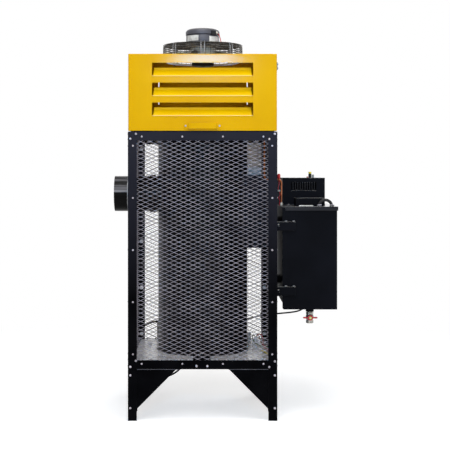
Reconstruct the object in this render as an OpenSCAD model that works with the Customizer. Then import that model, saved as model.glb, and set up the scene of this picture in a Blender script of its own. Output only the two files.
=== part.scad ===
// Waste oil heater: a mesh cabinet on four legs round a burner chamber,
// a yellow louvred hood with an axial fan, and an oil tank with its controls.
// Millimetres. X runs to the tank side, Y runs away from the viewer, Z is up.
// The origin lies on the floor at the middle of the cabinet.

/* [Cabinet] */
// Width of the cabinet across the front, along X
cab_w = 600; // [570:5:640]
// Depth of the cabinet, along Y
cab_d = 600; // [570:5:640]
// Height of the top of the cabinet frame above the floor
frame_top = 1161; // [1146:5:1181]
// Height of the underside of the cabinet frame above the floor
frame_low = 207; // [192:5:217]
// Leg width of the steel angle of the frame
angle_w = 36; // [34:1:40]
// Thickness of the steel angle of the frame
angle_t = 3; // [2.5:0.5:4]
// Thickness of the expanded metal panels
mesh_t = 3; // [2:0.5:4]
// Width of the bars left between the gaps of a panel
mesh_bar = 7; // [6:0.5:9]

/* [Hood] */
// Height of the hood
hood_h = 309; // [299:5:329]
// Thickness of the hood sheet
hood_t = 1.5; // [1:0.5:2.5]
// Width of a louvre opening
louvre_w = 406; // [360:2:430]
// Height of a louvre opening
louvre_h = 56; // [48:1:58]
// Height from one louvre to the next
louvre_step = 80; // [76:1:82]
// Width of the hood handle between its feet
handle_w = 116; // [96:2:140]

/* [Fan] */
// Radius of the air opening in the top of the hood
inlet_r = 155; // [150:1:160]
// Radius of the round guard basket
guard_r = 170; // [166:1:178]
// Height of the guard basket
guard_h = 71; // [66:1:80]
// Radius of the motor housing
motor_r = 71; // [66:1:74]
// Height of the motor housing with its cap
motor_h = 64; // [54:1:68]
// Number of fan blades
blade_count = 6; // [5:1:7]

/* [Burner chamber] */
// Outer radius of the chamber
chamber_r = 190; // [176:1:196]
// Radius of the flue stub
flue_r = 75; // [60:1:80]
// Height of the flue stub above the floor
flue_z = 907; // [860:1:940]
// Length of the flue stub outside the cabinet
flue_out = 75; // [60:5:120]

/* [Oil tank] */
// Width of the tank, away from the cabinet
tank_w = 222; // [202:2:252]
// Length of the tank, along Y
tank_d = 500; // [470:5:530]
// Height of the tank
tank_h = 415; // [385:5:435]
// Height of the top of the tank above the floor
tank_top = 856; // [846:1:866]

/* [Control box] */
// Width of the control box
box_w = 178; // [168:2:188]
// Depth of the control box
box_d = 220; // [200:2:240]
// Height of the control box
box_h = 116; // [106:1:126]
// Number of vent slots in the control box
slot_count = 11; // [5:1:12]

/* [Mains lead] */
// Thickness of the mains lead
cord_d = 7; // [6:0.5:8]
// Mean radius of the hung coil of the lead
coil_r = 128; // [118:1:132]

/* [Hidden] */
$fn = 64;
right = cab_w / 2;
far = cab_d / 2;
open_x = right - angle_w;
open_y = far - angle_w;
mesh_low = frame_low + angle_w;
mesh_top = frame_top - angle_w;
skin = angle_t + mesh_t;
panel_lap = 6;
panel_low = frame_low + panel_lap;
panel_top = frame_top - panel_lap;
long_half = right - angle_t - 1;
side_half = far - angle_t - mesh_t - 8;
mesh_rows = 21;
mesh_cols = 6;

screw_r = 2.5;
bolt_r = 3;
bolt_in = 9;
screw_inset = 20.4;
nut_h = 5;
mesh_screw_rows = 5;
rail_screws = 4;
rail_screw_gap = 163;

tray_top = mesh_low;
tray_inset = 19;
tray_t = 2;
conduit_x = right - 96;
conduit_y = far - 125;
conduit_h = 46;
stat_x = right - 69;
stat_y = far - 196;
stat_h = 26;
dome_r = 9;
chamber_wall = 3;
chamber_top = frame_top - 25;
lid_t = 6;
lid_r = chamber_r + 10;
dome_h = 24;
pan_r = chamber_r - 40;
pan_wall = 10;
pan_low = tray_top + 4;
pan_h = 52;
ring_low = pan_low + pan_h;
ring_r = chamber_r - 86;
ring_wall = 4;
ring_h = 180;
ring_lip = 5;
flame_r = 8;
flame_rows = 3;
flame_step = 40;
neck_low = 680;
neck_top = 986;
neck_half = 85;
neck_t = 2;
bead_h = 2;

hood_low = frame_top + 4;
hood_top = hood_low + hood_h;
hood_x = right - 1;
hood_y = far - 1;
corner_r = 5;
louvre_low = hood_low + 57;
louvre_count = 3;
flap_run = 34;
flap_in = 5.5;
hinge_y = far + 8;
hinge_z = hood_low;
hinge_r = 6;
pin_r = 3;
fit = 0.05;
hinge_x = 180;
handle_z = hood_low + 19;
handle_h = 24;
handle_out = 14;

guard_top = hood_top + guard_h;
wire = 3;
ring_count = 6;
rod_count = 16;
spoke_count = 8;
shaft_r = 8;
rotor_r = 58;
hub_r = 46;
rotor_top = guard_top - 8;
hub_low = hood_top - 24;
hub_top = hood_top + 20;
blade_tip = inlet_r - 8;
inlet_h = 8;
blade_z = hood_top + 4;
blade_pitch = 20;
blade_half = 34;
blade_t = 2;
motor_top = guard_top + motor_h;
cap_h = 26;

tank_x = right + 24;
tank_out = tank_x + tank_w;
tank_y = tank_d / 2;
tank_low = tank_top - tank_h;
tank_t = 3;
tank_slope = 28;
cover_t = 3;
cover_top = tank_top + cover_t;
rim_h = 17;
rim_over = 4;
bracket_l = 77;
bracket_h = 36;
bracket_t = 3;
bracket_y = tank_y + 16;
bracket_bolt_y = far - 21;
bracket_bolt_r = 3.5;
bracket_bolt_z = 21;
bracket_nut_r = 6;
bracket_zs = [tank_top - 94, tank_top - 357];

hatch_x = right + 82;
hatch_w = 114;
hatch_y = -tank_y + 35;
hatch_d = 109;
hatch_h = 34;
hatch_t = 2;
hatch_gap = 0.4;
hatch_hinge_y = hatch_y + hatch_d + 4;
hatch_hinge_z = cover_top + 7;
knuckle_r = 4;
hatch_pin_r = 2;
collar_in = 10;
collar_h = 21;
collar_t = 3;

valve_x = right + 141;
valve_y = -tank_y + 70;
valve_z = tank_low - 39;
valve_bore = 8;
valve_throat = valve_bore - 1;
ball_r = 11;
lever_r = 11.5;
lever_span = 60;

box_x = right + 37;
box_y = -70;
box_t = 1.5;
base_t = 2;
box_low = cover_top + base_t;
box_top = box_low + box_h - base_t;
slot_gap = 10;
slot_w = 5;
slot_h = 35;
reset_x = box_x + 119;
panel_y = box_y + 45;
gland_x = right + 180;
gland_z = box_low + 44;
gland_t = 5;
socket_r = 8;
boot_l = 30;

pipe_r = 4;
pipe_y = -120;
pipe_x = right + 28;
pipe_in_x = right - 42;
pipe_z = 968;
pipe_top = frame_top - 1;
feed_x = 100;
hose_r = 6;
hose_bend = 26;
hose_x = right + 200;
hose_y = -tank_y + 18;

coil_x = -197;
coil_z = 191;
coil_y = far + 9;
coil_turns = 2.25;
coil_gap = 1;
loop_rings = 24;
coil_sides = 6;
cord_sides = 8;
coil_end = coil_y + (cord_d + coil_gap) * coil_turns;
plug_z = 128;

// The lead from its boot behind the control box to the coil, chosen by hand.
cord_y = box_y + box_d + gland_t + boot_l;
over_y = tank_y + rim_over + cord_d / 2 + 1;
cord_points = [
    [gland_x, cord_y, gland_z], [gland_x, cord_y + 12, gland_z],
    [gland_x, cord_y + 38, gland_z - 5], [gland_x, over_y - 6, cover_top + 27],
    [gland_x, over_y + 4, cover_top + 3], [gland_x, over_y + 9, cover_top - 29],
    [gland_x, over_y + 12, tank_top - 76], [gland_x - 1, over_y + 14, tank_low + 249],
    [gland_x - 2, over_y + 17, tank_low + 159], [gland_x - 3, over_y + 20, tank_low + 59],
    [right + 172, far - 16, tank_low - 11], [right + 160, far - 9, 388],
    [right + 138, far - 2, 370], [right + 100, far + 4, 361], [right + 43, far + 8, 355],
    [right - 34, far + 9, 346], [right - 100, far + 9, 331],
    [100, far + 9, 320], [0, far + 9, 315], [-80, far + 9, 315],
    [-140, far + 9, coil_z + coil_r - 1], [coil_x + 20, coil_y, coil_z + coil_r],
    [coil_x + cord_d, coil_y, coil_z + coil_r]];

// Turns a shape drawn for the near face to face the far side.
module for_far() rotate([0, 0, 180]) children();

// A block given by its low corner and its high corner.
module block(a, b) translate(a) cube(b - a);

// A round bar along one axis, from a point and with a length.
module bar_x(p, r, h) translate(p) rotate([0, 90, 0]) cylinder(r = r, h = h);
module bar_y(p, r, h) translate(p) rotate([-90, 0, 0]) cylinder(r = r, h = h);
module bar_z(p, r, h) translate(p) cylinder(r = r, h = h);
module nut_y(p, r, h) translate(p) rotate([-90, 0, 0]) cylinder(r = r, h = h, $fn = 6);

// A rectangle with round corners, in the plane of the sketch.
module round_rect(w, d, r) {
    square([w - 2 * r, d], center = true);
    square([w, d - 2 * r], center = true);
    for (sx = [-1, 1])
        for (sy = [-1, 1])
            translate([sx * (w / 2 - r), sy * (d / 2 - r)])
                circle(r = r);
}

// Screw places on a cabinet face, as distance from its middle and height.
function post_rows() = [for (i = [0 : mesh_screw_rows - 1])
    mesh_low + 24 + i * (mesh_top - mesh_low - 45) / (mesh_screw_rows - 1)];
function post_screws(half) = [for (s = [-1, 1], z = post_rows()) [s * (half - screw_inset), z]];
function rail_row(z) = [for (i = [0 : rail_screws - 1])
    [(i - (rail_screws - 1) / 2) * rail_screw_gap, z]];
function small_screws(half) = concat(post_screws(half), rail_row(frame_top - 20),
    rail_row(frame_low + 22));
function corner_bolts(half) = [[32 - half, frame_top - bolt_in],
    [10 - half, frame_top - 29],
    [half - 10, frame_top - bolt_in], [half - 32, frame_top - 30],
    [32 - half, frame_low + 34], [10 - half, frame_low + 10],
    [half - 10, frame_low + 32], [half - 32, frame_low + bolt_in],
    [-24, frame_low + 13], [19, frame_low + 13]];
function side_bolts(half) = [for (s = [-1, 1], z = [frame_top - bolt_in, frame_top - 30,
    frame_low + 34, frame_low + bolt_in]) [s * (half - 32), z]];
function gusset_bolts() = [for (s = [-1, 1], z = [frame_low - 24, 51]) [s * (right - 10), z]];

// Holes for the screws of a near or far face, and of a side face.
module face_holes() {
    for (p = small_screws(right))
        bar_y([p[0], -far - 1, p[1]], screw_r + fit, 20);
    for (p = concat(corner_bolts(right), gusset_bolts()))
        bar_y([p[0], -far - 1, p[1]], bolt_r + fit, 20);
}

module side_holes() {
    rotate([0, 0, 90]) {
        for (p = small_screws(far))
            bar_y([p[0], -right - 1, p[1]], screw_r + fit, 20);
        for (p = side_bolts(far))
            bar_y([p[0], -right - 1, p[1]], bolt_r + fit, 20);
    }
}

module all_holes() {
    face_holes();
    for_far() face_holes();
    side_holes();
    for_far() side_holes();
    bracket_holes();
}

// One screw with its head outside the face and its nut inside.
module screw_set(p, face, r, head_r, nut_r) {
    bar_y([p[0], -face - head_r * 0.6, p[1]], head_r, head_r * 0.6);
    bar_y([p[0], -face, p[1]], r, skin);
    nut_y([p[0], -face + skin, p[1]], nut_r, nut_h);
}

module face_screws() {
    for (p = small_screws(right))
        screw_set(p, far, screw_r, 4, 7);
    for (p = concat(corner_bolts(right), gusset_bolts()))
        screw_set(p, far, bolt_r, 5.5, 6);
}

module side_screws() {
    rotate([0, 0, 90]) {
        for (p = small_screws(far))
            screw_set(p, right, screw_r, 4, 7);
        for (p = side_bolts(far))
            screw_set(p, right, bolt_r, 5.5, 6);
    }
}

module face_fasteners() color("silver") {
    face_screws();
    for_far() face_screws();
}
module side_fasteners() color("silver") {
    side_screws();
    for_far() side_screws();
}

// Frame: four legs of steel angle and two welded rings of rails.
module post(sx, sy) color("#22242a") difference() {
    scale([sx, sy, 1]) difference() {
        block([right - angle_w, far - angle_w, 0], [right, far, frame_top]);
        block([right - angle_w - 1, far - angle_w - 1, -1],
            [right - angle_t, far - angle_t, frame_top + 1]);
    }
    all_holes();
}

module post_near_left() post(-1, -1);
module post_near_right() post(1, -1);
module post_far_left() post(-1, 1);
module post_far_right() post(1, 1);

module rail_ring(z, shelf_z) color("#22242a") difference() {
    union() {
        difference() {
            block([angle_t - right, angle_t - far, shelf_z],
                [right - angle_t, far - angle_t, shelf_z + angle_t]);
            block([-open_x, -open_y, shelf_z - 1], [open_x, open_y, shelf_z + angle_t + 1]);
        }
        for (s = [-1, 1]) {
            block([-open_x, s * (far - angle_t / 2) - angle_t / 2, z],
                [open_x, s * (far - angle_t / 2) + angle_t / 2, z + angle_w]);
            block([s * (right - angle_t / 2) - angle_t / 2, -open_y, z],
                [s * (right - angle_t / 2) + angle_t / 2, open_y, z + angle_w]);
        }
    }
    all_holes();
}

module top_frame() rail_ring(mesh_top, frame_top - angle_t);
module bottom_frame() rail_ring(frame_low, frame_low);

module gusset_plate() {
    translate([0, angle_t - far, 0]) rotate([90, 0, 0]) mirror([0, 0, 1])
        linear_extrude(mesh_t)
            polygon([[right - 4, frame_low], [right - 195, frame_low],
                [open_x - 2, 49], [open_x - 2, 38], [right - 4, 38]]);
    block([right - 195, angle_t - far, frame_low - angle_t],
        [right - 4, angle_w - far, frame_low]);
}

module gussets_near() color("#22242a") difference() {
    union() {
        gusset_plate();
        mirror([1, 0, 0]) gusset_plate();
    }
    face_holes();
}

module gussets_far() for_far() gussets_near();

// Expanded metal, drawn flat with its gaps in staggered rows.
module diamond(w, h) polygon([[-w / 2, 0], [0, -h / 2], [w / 2, 0], [0, h / 2]]);

module net(half, clear_x) {
    step_x = 2 * clear_x / mesh_cols;
    step_z = (mesh_top - mesh_low) / mesh_rows;
    difference() {
        translate([-half, panel_low])
            square([2 * half, panel_top - panel_low]);
        intersection() {
            translate([-clear_x, mesh_low])
                square([2 * clear_x, mesh_top - mesh_low]);
            for (row = [0 : 2 * mesh_rows - 1])
                for (col = [0 : mesh_cols])
                    if (row % 2 == 1 || col < mesh_cols)
                        translate([(col + (row % 2 == 1 ? 0 : 0.5)) * step_x - clear_x,
                                mesh_low + (row + 0.5) * step_z / 2])
                            diamond(step_x - mesh_bar * 2, step_z - mesh_bar);
        }
    }
}

module net_panel(half, clear_x, face) translate([0, angle_t - face, 0])
    rotate([90, 0, 0]) mirror([0, 0, 1]) linear_extrude(mesh_t) net(half, clear_x);

module mesh_near() color("#807a84") difference() {
    net_panel(long_half, open_x, far);
    face_holes();
}
module mesh_far() color("#807a84") for_far() difference() {
    net_panel(long_half, open_x, far);
    face_holes();
}
module mesh_back() color("#807a84") difference() {
    rotate([0, 0, -90]) net_panel(side_half, open_y, right);
    side_holes();
    for_far() side_holes();
    bar_x([-right - 2, 0, flue_z], flue_r + 20, 10);
}

// The closed front of the cabinet, with an air inlet into the neck.
module front_panel() color("#1c1e24") difference() {
    block([right - skin, -side_half, panel_low], [right - angle_t, side_half, panel_top]);
    side_holes();
    for_far() side_holes();
    bracket_holes();
    bar_x([right - 10, 0, (neck_low + neck_top) / 2], 45, 20);
    bar_x([right - 10, pipe_y, pipe_z], pipe_r + 2, 20);
}

// Tray under the chamber, with a drain hole.
module base_tray() color("#b8babd") difference() {
    block([tray_inset - right, tray_inset - far, frame_low + angle_t],
        [right - tray_inset, far - tray_inset, tray_top]);
    block([tray_inset + tray_t - right, tray_inset + tray_t - far, frame_low],
        [right - tray_inset - tray_t, far - tray_inset - tray_t, tray_top - tray_t]);
    bar_z([-160, -200, tray_top - 10], 14.5, 20);
}

// Burner chamber, standing on the tray.
module chamber_shell() color("#2a2b30") difference() {
    union() {
        bar_z([0, 0, tray_top], chamber_r, chamber_top - tray_top);
        bar_z([0, 0, tray_top], chamber_r + 6, 5);
        bar_z([0, 0, tray_top + 38], chamber_r + 2.5, 18);
        bar_z([0, 0, chamber_top - 5], lid_r, 5);
    }
    bar_z([0, 0, tray_top + 4], chamber_r - chamber_wall, chamber_top);
    bar_x([-chamber_r - 20, 0, flue_z], flue_r, chamber_r);
    block([0, -60, neck_low + 20], [chamber_r + 5, 60, neck_top - 20]);
}

module chamber_lid() color("#2f3035") difference() {
    union() {
        bar_z([0, 0, chamber_top], lid_r, lid_t);
        translate([0, 0, chamber_top + lid_t])
            cylinder(r1 = chamber_r - 40, r2 = chamber_r - 90, h = dome_h);
        bar_z([feed_x, pipe_y, chamber_top + lid_t], 9, 6);
        for (a = [45 : 90 : 315])
            rotate([0, 0, a]) bar_z([lid_r - 12, 0, chamber_top + 1], 6, lid_t + 4);
    }
    bar_z([feed_x, pipe_y, chamber_top - 1], pipe_r + fit, 40);
    translate([0, 0, chamber_top + lid_t - 4])
        cylinder(r1 = chamber_r - 46, r2 = chamber_r - 94, h = dome_h);
    bar_z([0, 0, chamber_top - 1], chamber_r - 46, lid_t - 2);
}

module burner_pan() color("#4a4038") difference() {
    bar_z([0, 0, pan_low], pan_r, pan_h);
    bar_z([0, 0, pan_low + 8], pan_r - pan_wall, pan_h);
}

module flame_ring() color("#55504a") difference() {
    union() {
        bar_z([0, 0, ring_low], pan_r - 2, ring_lip);
        bar_z([0, 0, ring_low], ring_r, ring_h);
    }
    bar_z([0, 0, ring_low - 1], ring_r - ring_wall, ring_h + 2);
    for (a = [0 : 30 : 330])
        for (i = [0 : flame_rows - 1])
            rotate([0, 0, a])
                bar_x([ring_r - 20, 0, ring_low + 54 + i * flame_step], flame_r, 40);
}

// Flue stub through the back of the cabinet.
module flue_pipe() color("#26272b") difference() {
    union() {
        bar_x([-right - flue_out, 0, flue_z], flue_r, right + flue_out - chamber_r + 12);
        bar_x([8 - right, 0, flue_z], flue_r + 10, 3);
        bar_x([-chamber_r - 34, 0, flue_z], flue_r + 6, 22);
        bar_x([-right - 6, 0, flue_z], flue_r + bead_h, 3);
    }
    bar_x([-right - flue_out - 1, 0, flue_z], flue_r - 1.5, right + flue_out);
    bar_z([0, 0, tray_top], chamber_r, chamber_top);
}

module flue_plate() color("#22242a") difference() {
    block([2 - right - angle_t, -flue_r - 45, flue_z - flue_r - 45],
        [-right + angle_t, flue_r + 45, flue_z + flue_r + 45]);
    bar_x([-right - 5, 0, flue_z], flue_r + 0.5, 20);
}

// Brackets that hold the foot of the chamber to the bottom rails.
module foot_bracket() difference() {
    union() {
        block([-38, skin - far, frame_low + 6], [32, skin - far + 3, tray_top + 20]);
        block([-38, skin - far, tray_top + 17], [32, -chamber_r + 6, tray_top + 20]);
        bar_z([-3, -far + 30, tray_top + 20], 6, 5);
    }
    bar_z([0, 0, tray_top], chamber_r, 200);
    block([-60, skin - far - 1, frame_low], [60, skin - far + 12, tray_top - 12]);
}

module foot_brackets() color("#8c8e92") {
    foot_bracket();
    for_far() foot_bracket();
}

// Air neck from the front panel into the chamber.
module neck_box() color("#191a1e") difference() {
    block([0, -neck_half, neck_low], [right - skin, neck_half, neck_top]);
    block([-1, neck_t - neck_half, neck_low + neck_t],
        [right, neck_half - neck_t, neck_top - neck_t]);
    bar_z([0, 0, tray_top], chamber_r + fit, chamber_top);
}

// Copper feed pipe from the tank to the chamber lid.
module elbow(p) translate(p) sphere(r = pipe_r);

module fuel_pipe() color("#a5633a") union() {
    bar_z([pipe_x, pipe_y, cover_top], pipe_r, pipe_z - cover_top);
    bar_z([pipe_x, pipe_y, cover_top], 8, 12);
    elbow([pipe_x, pipe_y, pipe_z]);
    bar_x([pipe_in_x, pipe_y, pipe_z], pipe_r, pipe_x - pipe_in_x);
    elbow([pipe_in_x, pipe_y, pipe_z]);
    bar_z([pipe_in_x, pipe_y, pipe_z], pipe_r, pipe_top - pipe_z);
    elbow([pipe_in_x, pipe_y, pipe_top]);
    bar_x([feed_x, pipe_y, pipe_top], pipe_r, pipe_in_x - feed_x);
    elbow([feed_x, pipe_y, pipe_top]);
    bar_z([feed_x, pipe_y, chamber_top], pipe_r, pipe_top - chamber_top);
}

// Thermostat, conduit gland and screws on the tray.
module tray_fittings() color("#9a9ca0") {
    bar_z([conduit_x, conduit_y, tray_top], 9, conduit_h);
    block([stat_x - 16, stat_y - 12, tray_top], [stat_x + 16, stat_y + 12, tray_top + stat_h]);
    bar_z([stat_x, stat_y, tray_top + stat_h], 8, 12);
    bar_z([67 - right, stat_y + 10, tray_top], dome_r, 8);
    translate([67 - right, stat_y + 10, tray_top + 8]) intersection() {
        sphere(r = dome_r);
        block([-10, -10, 0], [10, 10, 10]);
    }
    block([right - 62, 182 - far, tray_top], [right - 50, 208 - far, tray_top + 4]);
}

// Hood: seal, folded shell, louvre flaps and top plate with its inlet ring.
module hood_seal() color("#101114") difference() {
    block([12 - right, 12 - far, frame_top], [right - 12, far - 12, hood_low]);
    block([24 - right, 24 - far, frame_top - 1], [right - 24, far - 24, hood_low + 1]);
}

module louvre_gap(z) block([-louvre_w / 2, -hood_y - 5, z],
    [louvre_w / 2, -hood_y + 5, z + louvre_h]);

module hood_shell() color("#e1b100") difference() {
    translate([0, 0, hood_low]) difference() {
        linear_extrude(hood_h - hood_t)
            round_rect(2 * hood_x, 2 * hood_y, corner_r);
        translate([0, 0, hood_t]) linear_extrude(hood_h)
            round_rect(2 * (hood_x - hood_t), 2 * (hood_y - hood_t), corner_r - hood_t);
        translate([0, 0, -1]) linear_extrude(hood_h)
            square([2 * (right - 24), 2 * (far - 24)], center = true);
    }
    for (i = [0 : louvre_count - 1]) {
        louvre_gap(louvre_low + i * louvre_step);
        for_far() louvre_gap(louvre_low + i * louvre_step);
    }
}

module flap(z) translate([flap_in - louvre_w / 2, 0, 0]) rotate([90, 0, 90])
    linear_extrude(louvre_w - 2 * flap_in)
        polygon([[hood_t - hood_y, z - 7], [hood_t - hood_y, z],
            [hood_t - hood_y + flap_run, z + flap_run],
            [hood_t - hood_y + flap_run + 1.1, z + flap_run - 1.1],
            [2 * hood_t - hood_y, z - 0.7], [2 * hood_t - hood_y, z - 7]]);

module hood_louvres() color("#e1b100") for (i = [0 : louvre_count - 1]) {
    flap(louvre_low + i * louvre_step);
    for_far() flap(louvre_low + i * louvre_step);
}

module hood_top_plate() color("#e1b100") difference() {
    union() {
        translate([0, 0, hood_top - hood_t]) linear_extrude(hood_t)
            round_rect(2 * hood_x, 2 * hood_y, corner_r);
        bar_z([0, 0, hood_top - inlet_h], inlet_r + 1.5, inlet_h);
    }
    bar_z([0, 0, hood_top - inlet_h - 5], inlet_r, inlet_h + 10);
}

module hood_handle() color("#e1b100") {
    for (s = [-1, 1]) {
        block([s * (handle_w / 2 + 8) - 8, -hood_y - 3, handle_z - handle_h / 2],
            [s * (handle_w / 2 + 8) + 8, -hood_y, handle_z + handle_h / 2]);
        block([s * (handle_w / 2 - 1.5) - 1.5, -hood_y - handle_out, handle_z - handle_h / 2],
            [s * (handle_w / 2 - 1.5) + 1.5, -hood_y, handle_z + handle_h / 2]);
        bar_y([s * (handle_w / 2 + 9), -hood_y - 5.5, handle_z], 4, 2.5);
    }
    block([-handle_w / 2, -hood_y - handle_out, handle_z - handle_h / 2],
        [handle_w / 2, -hood_y - handle_out + 3, handle_z + handle_h / 2]);
}

// Two hinges on the far side: leaves on the hood, leaves and pins on the frame.
module hood_hinges() color("#2a2c31") for (s = [-1, 1]) difference() {
    union() {
        block([s * hinge_x - 40, far - 1, hood_low + 3],
            [s * hinge_x + 40, far + 2, hood_low + 42]);
        for (t = [-1, 1])
            difference() {
                union() {
                    bar_x([s * hinge_x + t * 28 - 12, hinge_y, hinge_z], hinge_r, 24);
                    block([s * hinge_x + t * 28 - 12, far - 1, hinge_z],
                        [s * hinge_x + t * 28 + 12, hinge_y, hinge_z + hinge_r]);
                }
                block([s * hinge_x - 60, far - 20, hinge_z - 20],
                    [s * hinge_x + 60, far - 1, hinge_z + 20]);
            }
    }
    bar_x([s * hinge_x - 60, hinge_y, hinge_z], pin_r + fit, 120);
    block([s * hinge_x - 15.6, far + 0.4, hood_low - 10],
        [s * hinge_x + 15.6, hinge_y + 10, hood_low + 7]);
}

module frame_hinges() color("#2a2c31") for (s = [-1, 1]) {
    block([s * hinge_x - 40, far, frame_top - 33], [s * hinge_x + 40, far + 3, frame_top - 12]);
    block([s * hinge_x - 15, far, frame_top - 20], [s * hinge_x + 15, far + 3, hood_low - 2]);
    block([s * hinge_x - 15, far, hood_low - 6], [s * hinge_x + 15, hinge_y, hood_low - 2]);
    bar_x([s * hinge_x - 15, hinge_y, hinge_z], hinge_r, 30);
    bar_x([s * hinge_x - 42, hinge_y, hinge_z], pin_r, 84);
}

// Fan: wire guard, motor on top of it, rotor and blades below it.
module wire_ring(r, z) difference() {
    bar_z([0, 0, z], r, wire);
    bar_z([0, 0, z - 1], r - wire, wire + 2);
}

module fan_guard() color("#141518") difference() {
    union() {
        for (i = [1 : ring_count])
            wire_ring(motor_r + i * (guard_r - motor_r) / ring_count, guard_top - wire);
        for (i = [0 : 3])
            wire_ring(guard_r, hood_top + i * (guard_h - 2 * wire) / 4);
        bar_z([0, 0, guard_top - wire], motor_r + 6, wire);
        for (i = [0 : rod_count - 1])
            rotate([0, 0, (i + 0.5) * 360 / rod_count])
                bar_z([guard_r - wire / 2, 0, hood_top + 1], wire * 0.4, guard_h - 2);
        for (i = [0 : spoke_count - 1])
            rotate([0, 0, i * 360 / spoke_count])
                block([motor_r, -2, guard_top - 2 * wire], [guard_r - 1, 2, guard_top - 1]);
        for (i = [0 : 3])
            rotate([0, 0, 45 + i * 90])
                block([guard_r - 4, -9, hood_top], [guard_r + 14, 9, hood_top + 2]);
    }
    bar_z([0, 0, guard_top - 4 * wire], motor_r - 14, 5 * wire);
}

module motor_body() color("#3c3c44") {
    bar_z([0, 0, guard_top], motor_r, motor_h - cap_h - 3);
    bar_z([0, 0, guard_top + motor_h - cap_h - 3], motor_r - 3, 3);
    bar_z([0, 0, hub_low + 9], shaft_r, guard_top - hub_low - 9);
}

module motor_cap() color("#45454d") difference() {
    rotate_extrude()
        polygon([[0, motor_top], [motor_r - 16, motor_top], [motor_r - 6, motor_top - 4],
            [motor_r, motor_top - 12], [motor_r, motor_top - cap_h], [0, motor_top - cap_h]]);
    terminal_space(0.2);
}

module terminal_space(gap) rotate([0, 0, -62])
    block([motor_r - 12 - gap, -14 - gap, motor_top - cap_h - 1],
        [motor_r + 20, 14 + gap, motor_top - 8 + gap]);

module terminal_box() color("#1b1b20") {
    rotate([0, 0, -62]) {
        block([motor_r - 12, -14, motor_top - cap_h + 1], [motor_r + 6, 14, motor_top - 8]);
        bar_x([motor_r + 6, 0, motor_top - cap_h + 10], 7, 8);
    }
}

module fan_rotor() color("#b9babd") difference() {
    union() {
        bar_z([0, 0, hub_top], rotor_r, rotor_top - hub_top);
        bar_z([0, 0, hub_low], hub_r, hub_top - hub_low);
    }
    bar_z([0, 0, hub_low + 8], shaft_r + fit, guard_top);
}

module fan_blades() color("#9b9ca0") difference() {
    intersection() {
        for (i = [0 : blade_count - 1])
            rotate([0, 0, i * 360 / blade_count])
                translate([0, 0, blade_z]) rotate([blade_pitch, 0, 0])
                    block([hub_r - 8, -blade_half, -blade_t / 2],
                        [blade_tip + 4, blade_half, blade_t / 2]);
        bar_z([0, 0, hub_low + 1], blade_tip, hub_top - hub_low - 2);
    }
    bar_z([0, 0, hub_low - 10], hub_r + fit, 100);
}

// Oil tank: folded shell between two end plates, cover, brackets and strainer.
module tank_side(inset) polygon([[tank_x + inset, tank_top], [tank_x + inset, tank_low + tank_slope],
    [tank_x + tank_slope + inset * 0.4, tank_low + inset], [tank_out - inset, tank_low + inset],
    [tank_out - inset, tank_top]]);

module tank_end() linear_extrude(tank_t) {
    translate([tank_x + 8, tank_low]) square([tank_w - 8, tank_h]);
    translate([tank_x, tank_low + 8]) square([tank_w, tank_h - 8]);
    translate([tank_x + 8, tank_low + 8]) circle(r = 8);
}

module tank_shell() color("#181a20") difference() {
    union() {
        translate([0, tank_y, 0]) rotate([90, 0, 0]) linear_extrude(tank_d) tank_side(0);
        translate([0, tank_t - tank_y, 0]) rotate([90, 0, 0]) tank_end();
        translate([0, tank_y, 0]) rotate([90, 0, 0]) tank_end();
        bar_z([valve_x, valve_y, tank_low - 16], 16.5, 17);
    }
    translate([0, tank_y - tank_t, 0]) rotate([90, 0, 0])
        linear_extrude(tank_d - 2 * tank_t) tank_side(tank_t);
    block([tank_x + tank_t, tank_t - tank_y, tank_top - 1],
        [tank_out - tank_t, tank_y - tank_t, tank_top + 1]);
    bar_z([valve_x, valve_y, tank_low - 30], valve_bore, 40);
    bar_z([valve_x, valve_y, tank_low - 17], 10.5, 13);
}

module filler_space(inset) block([hatch_x + collar_in + inset, hatch_y + collar_in + inset,
    tank_low + 200], [hatch_x + hatch_w - collar_in - inset,
    hatch_y + hatch_d - collar_in - inset, tank_top + 100]);

module tank_cover() color("#15171c") difference() {
    union() {
        block([tank_x - 2, -tank_y - rim_over, tank_top],
            [tank_out + rim_over, tank_y + rim_over, cover_top]);
        difference() {
            block([tank_x + 12, -tank_y - rim_over, cover_top - rim_h],
                [tank_out + rim_over, tank_y + rim_over, tank_top]);
            block([tank_x - 1, -tank_y, cover_top - rim_h - 1],
                [tank_out, tank_y, tank_top + 1]);
        }
        block([hatch_x + collar_in, hatch_y + collar_in, cover_top],
            [hatch_x + hatch_w - collar_in, hatch_y + hatch_d - collar_in,
            cover_top + collar_h]);
        for (s = [-1, 1]) {
            bar_x([hatch_x + hatch_w / 2 + s * 40 - 7, hatch_hinge_y, hatch_hinge_z],
                knuckle_r, 14);
            block([hatch_x + hatch_w / 2 + s * 40 - 7, hatch_hinge_y - 1, cover_top],
                [hatch_x + hatch_w / 2 + s * 40 + 7, hatch_hinge_y + knuckle_r,
                hatch_hinge_z]);
            bar_x([hatch_x + hatch_w / 2 + s * 40 - 14, hatch_hinge_y, hatch_hinge_z],
                hatch_pin_r, 28);
        }
        for (s = [-1, 1])
            bar_z([hose_x + s * hose_bend, hose_y, cover_top], hose_r + 3, 4);
        block([right + 92, 2 - tank_y, cover_top], [right + 149, 14 - tank_y, cover_top + 2]);
    }
    filler_space(collar_t);
    for (s = [-1, 1])
        bar_z([hose_x + s * hose_bend, hose_y, cover_top], hose_r + 0.4, 20);
}

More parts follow.
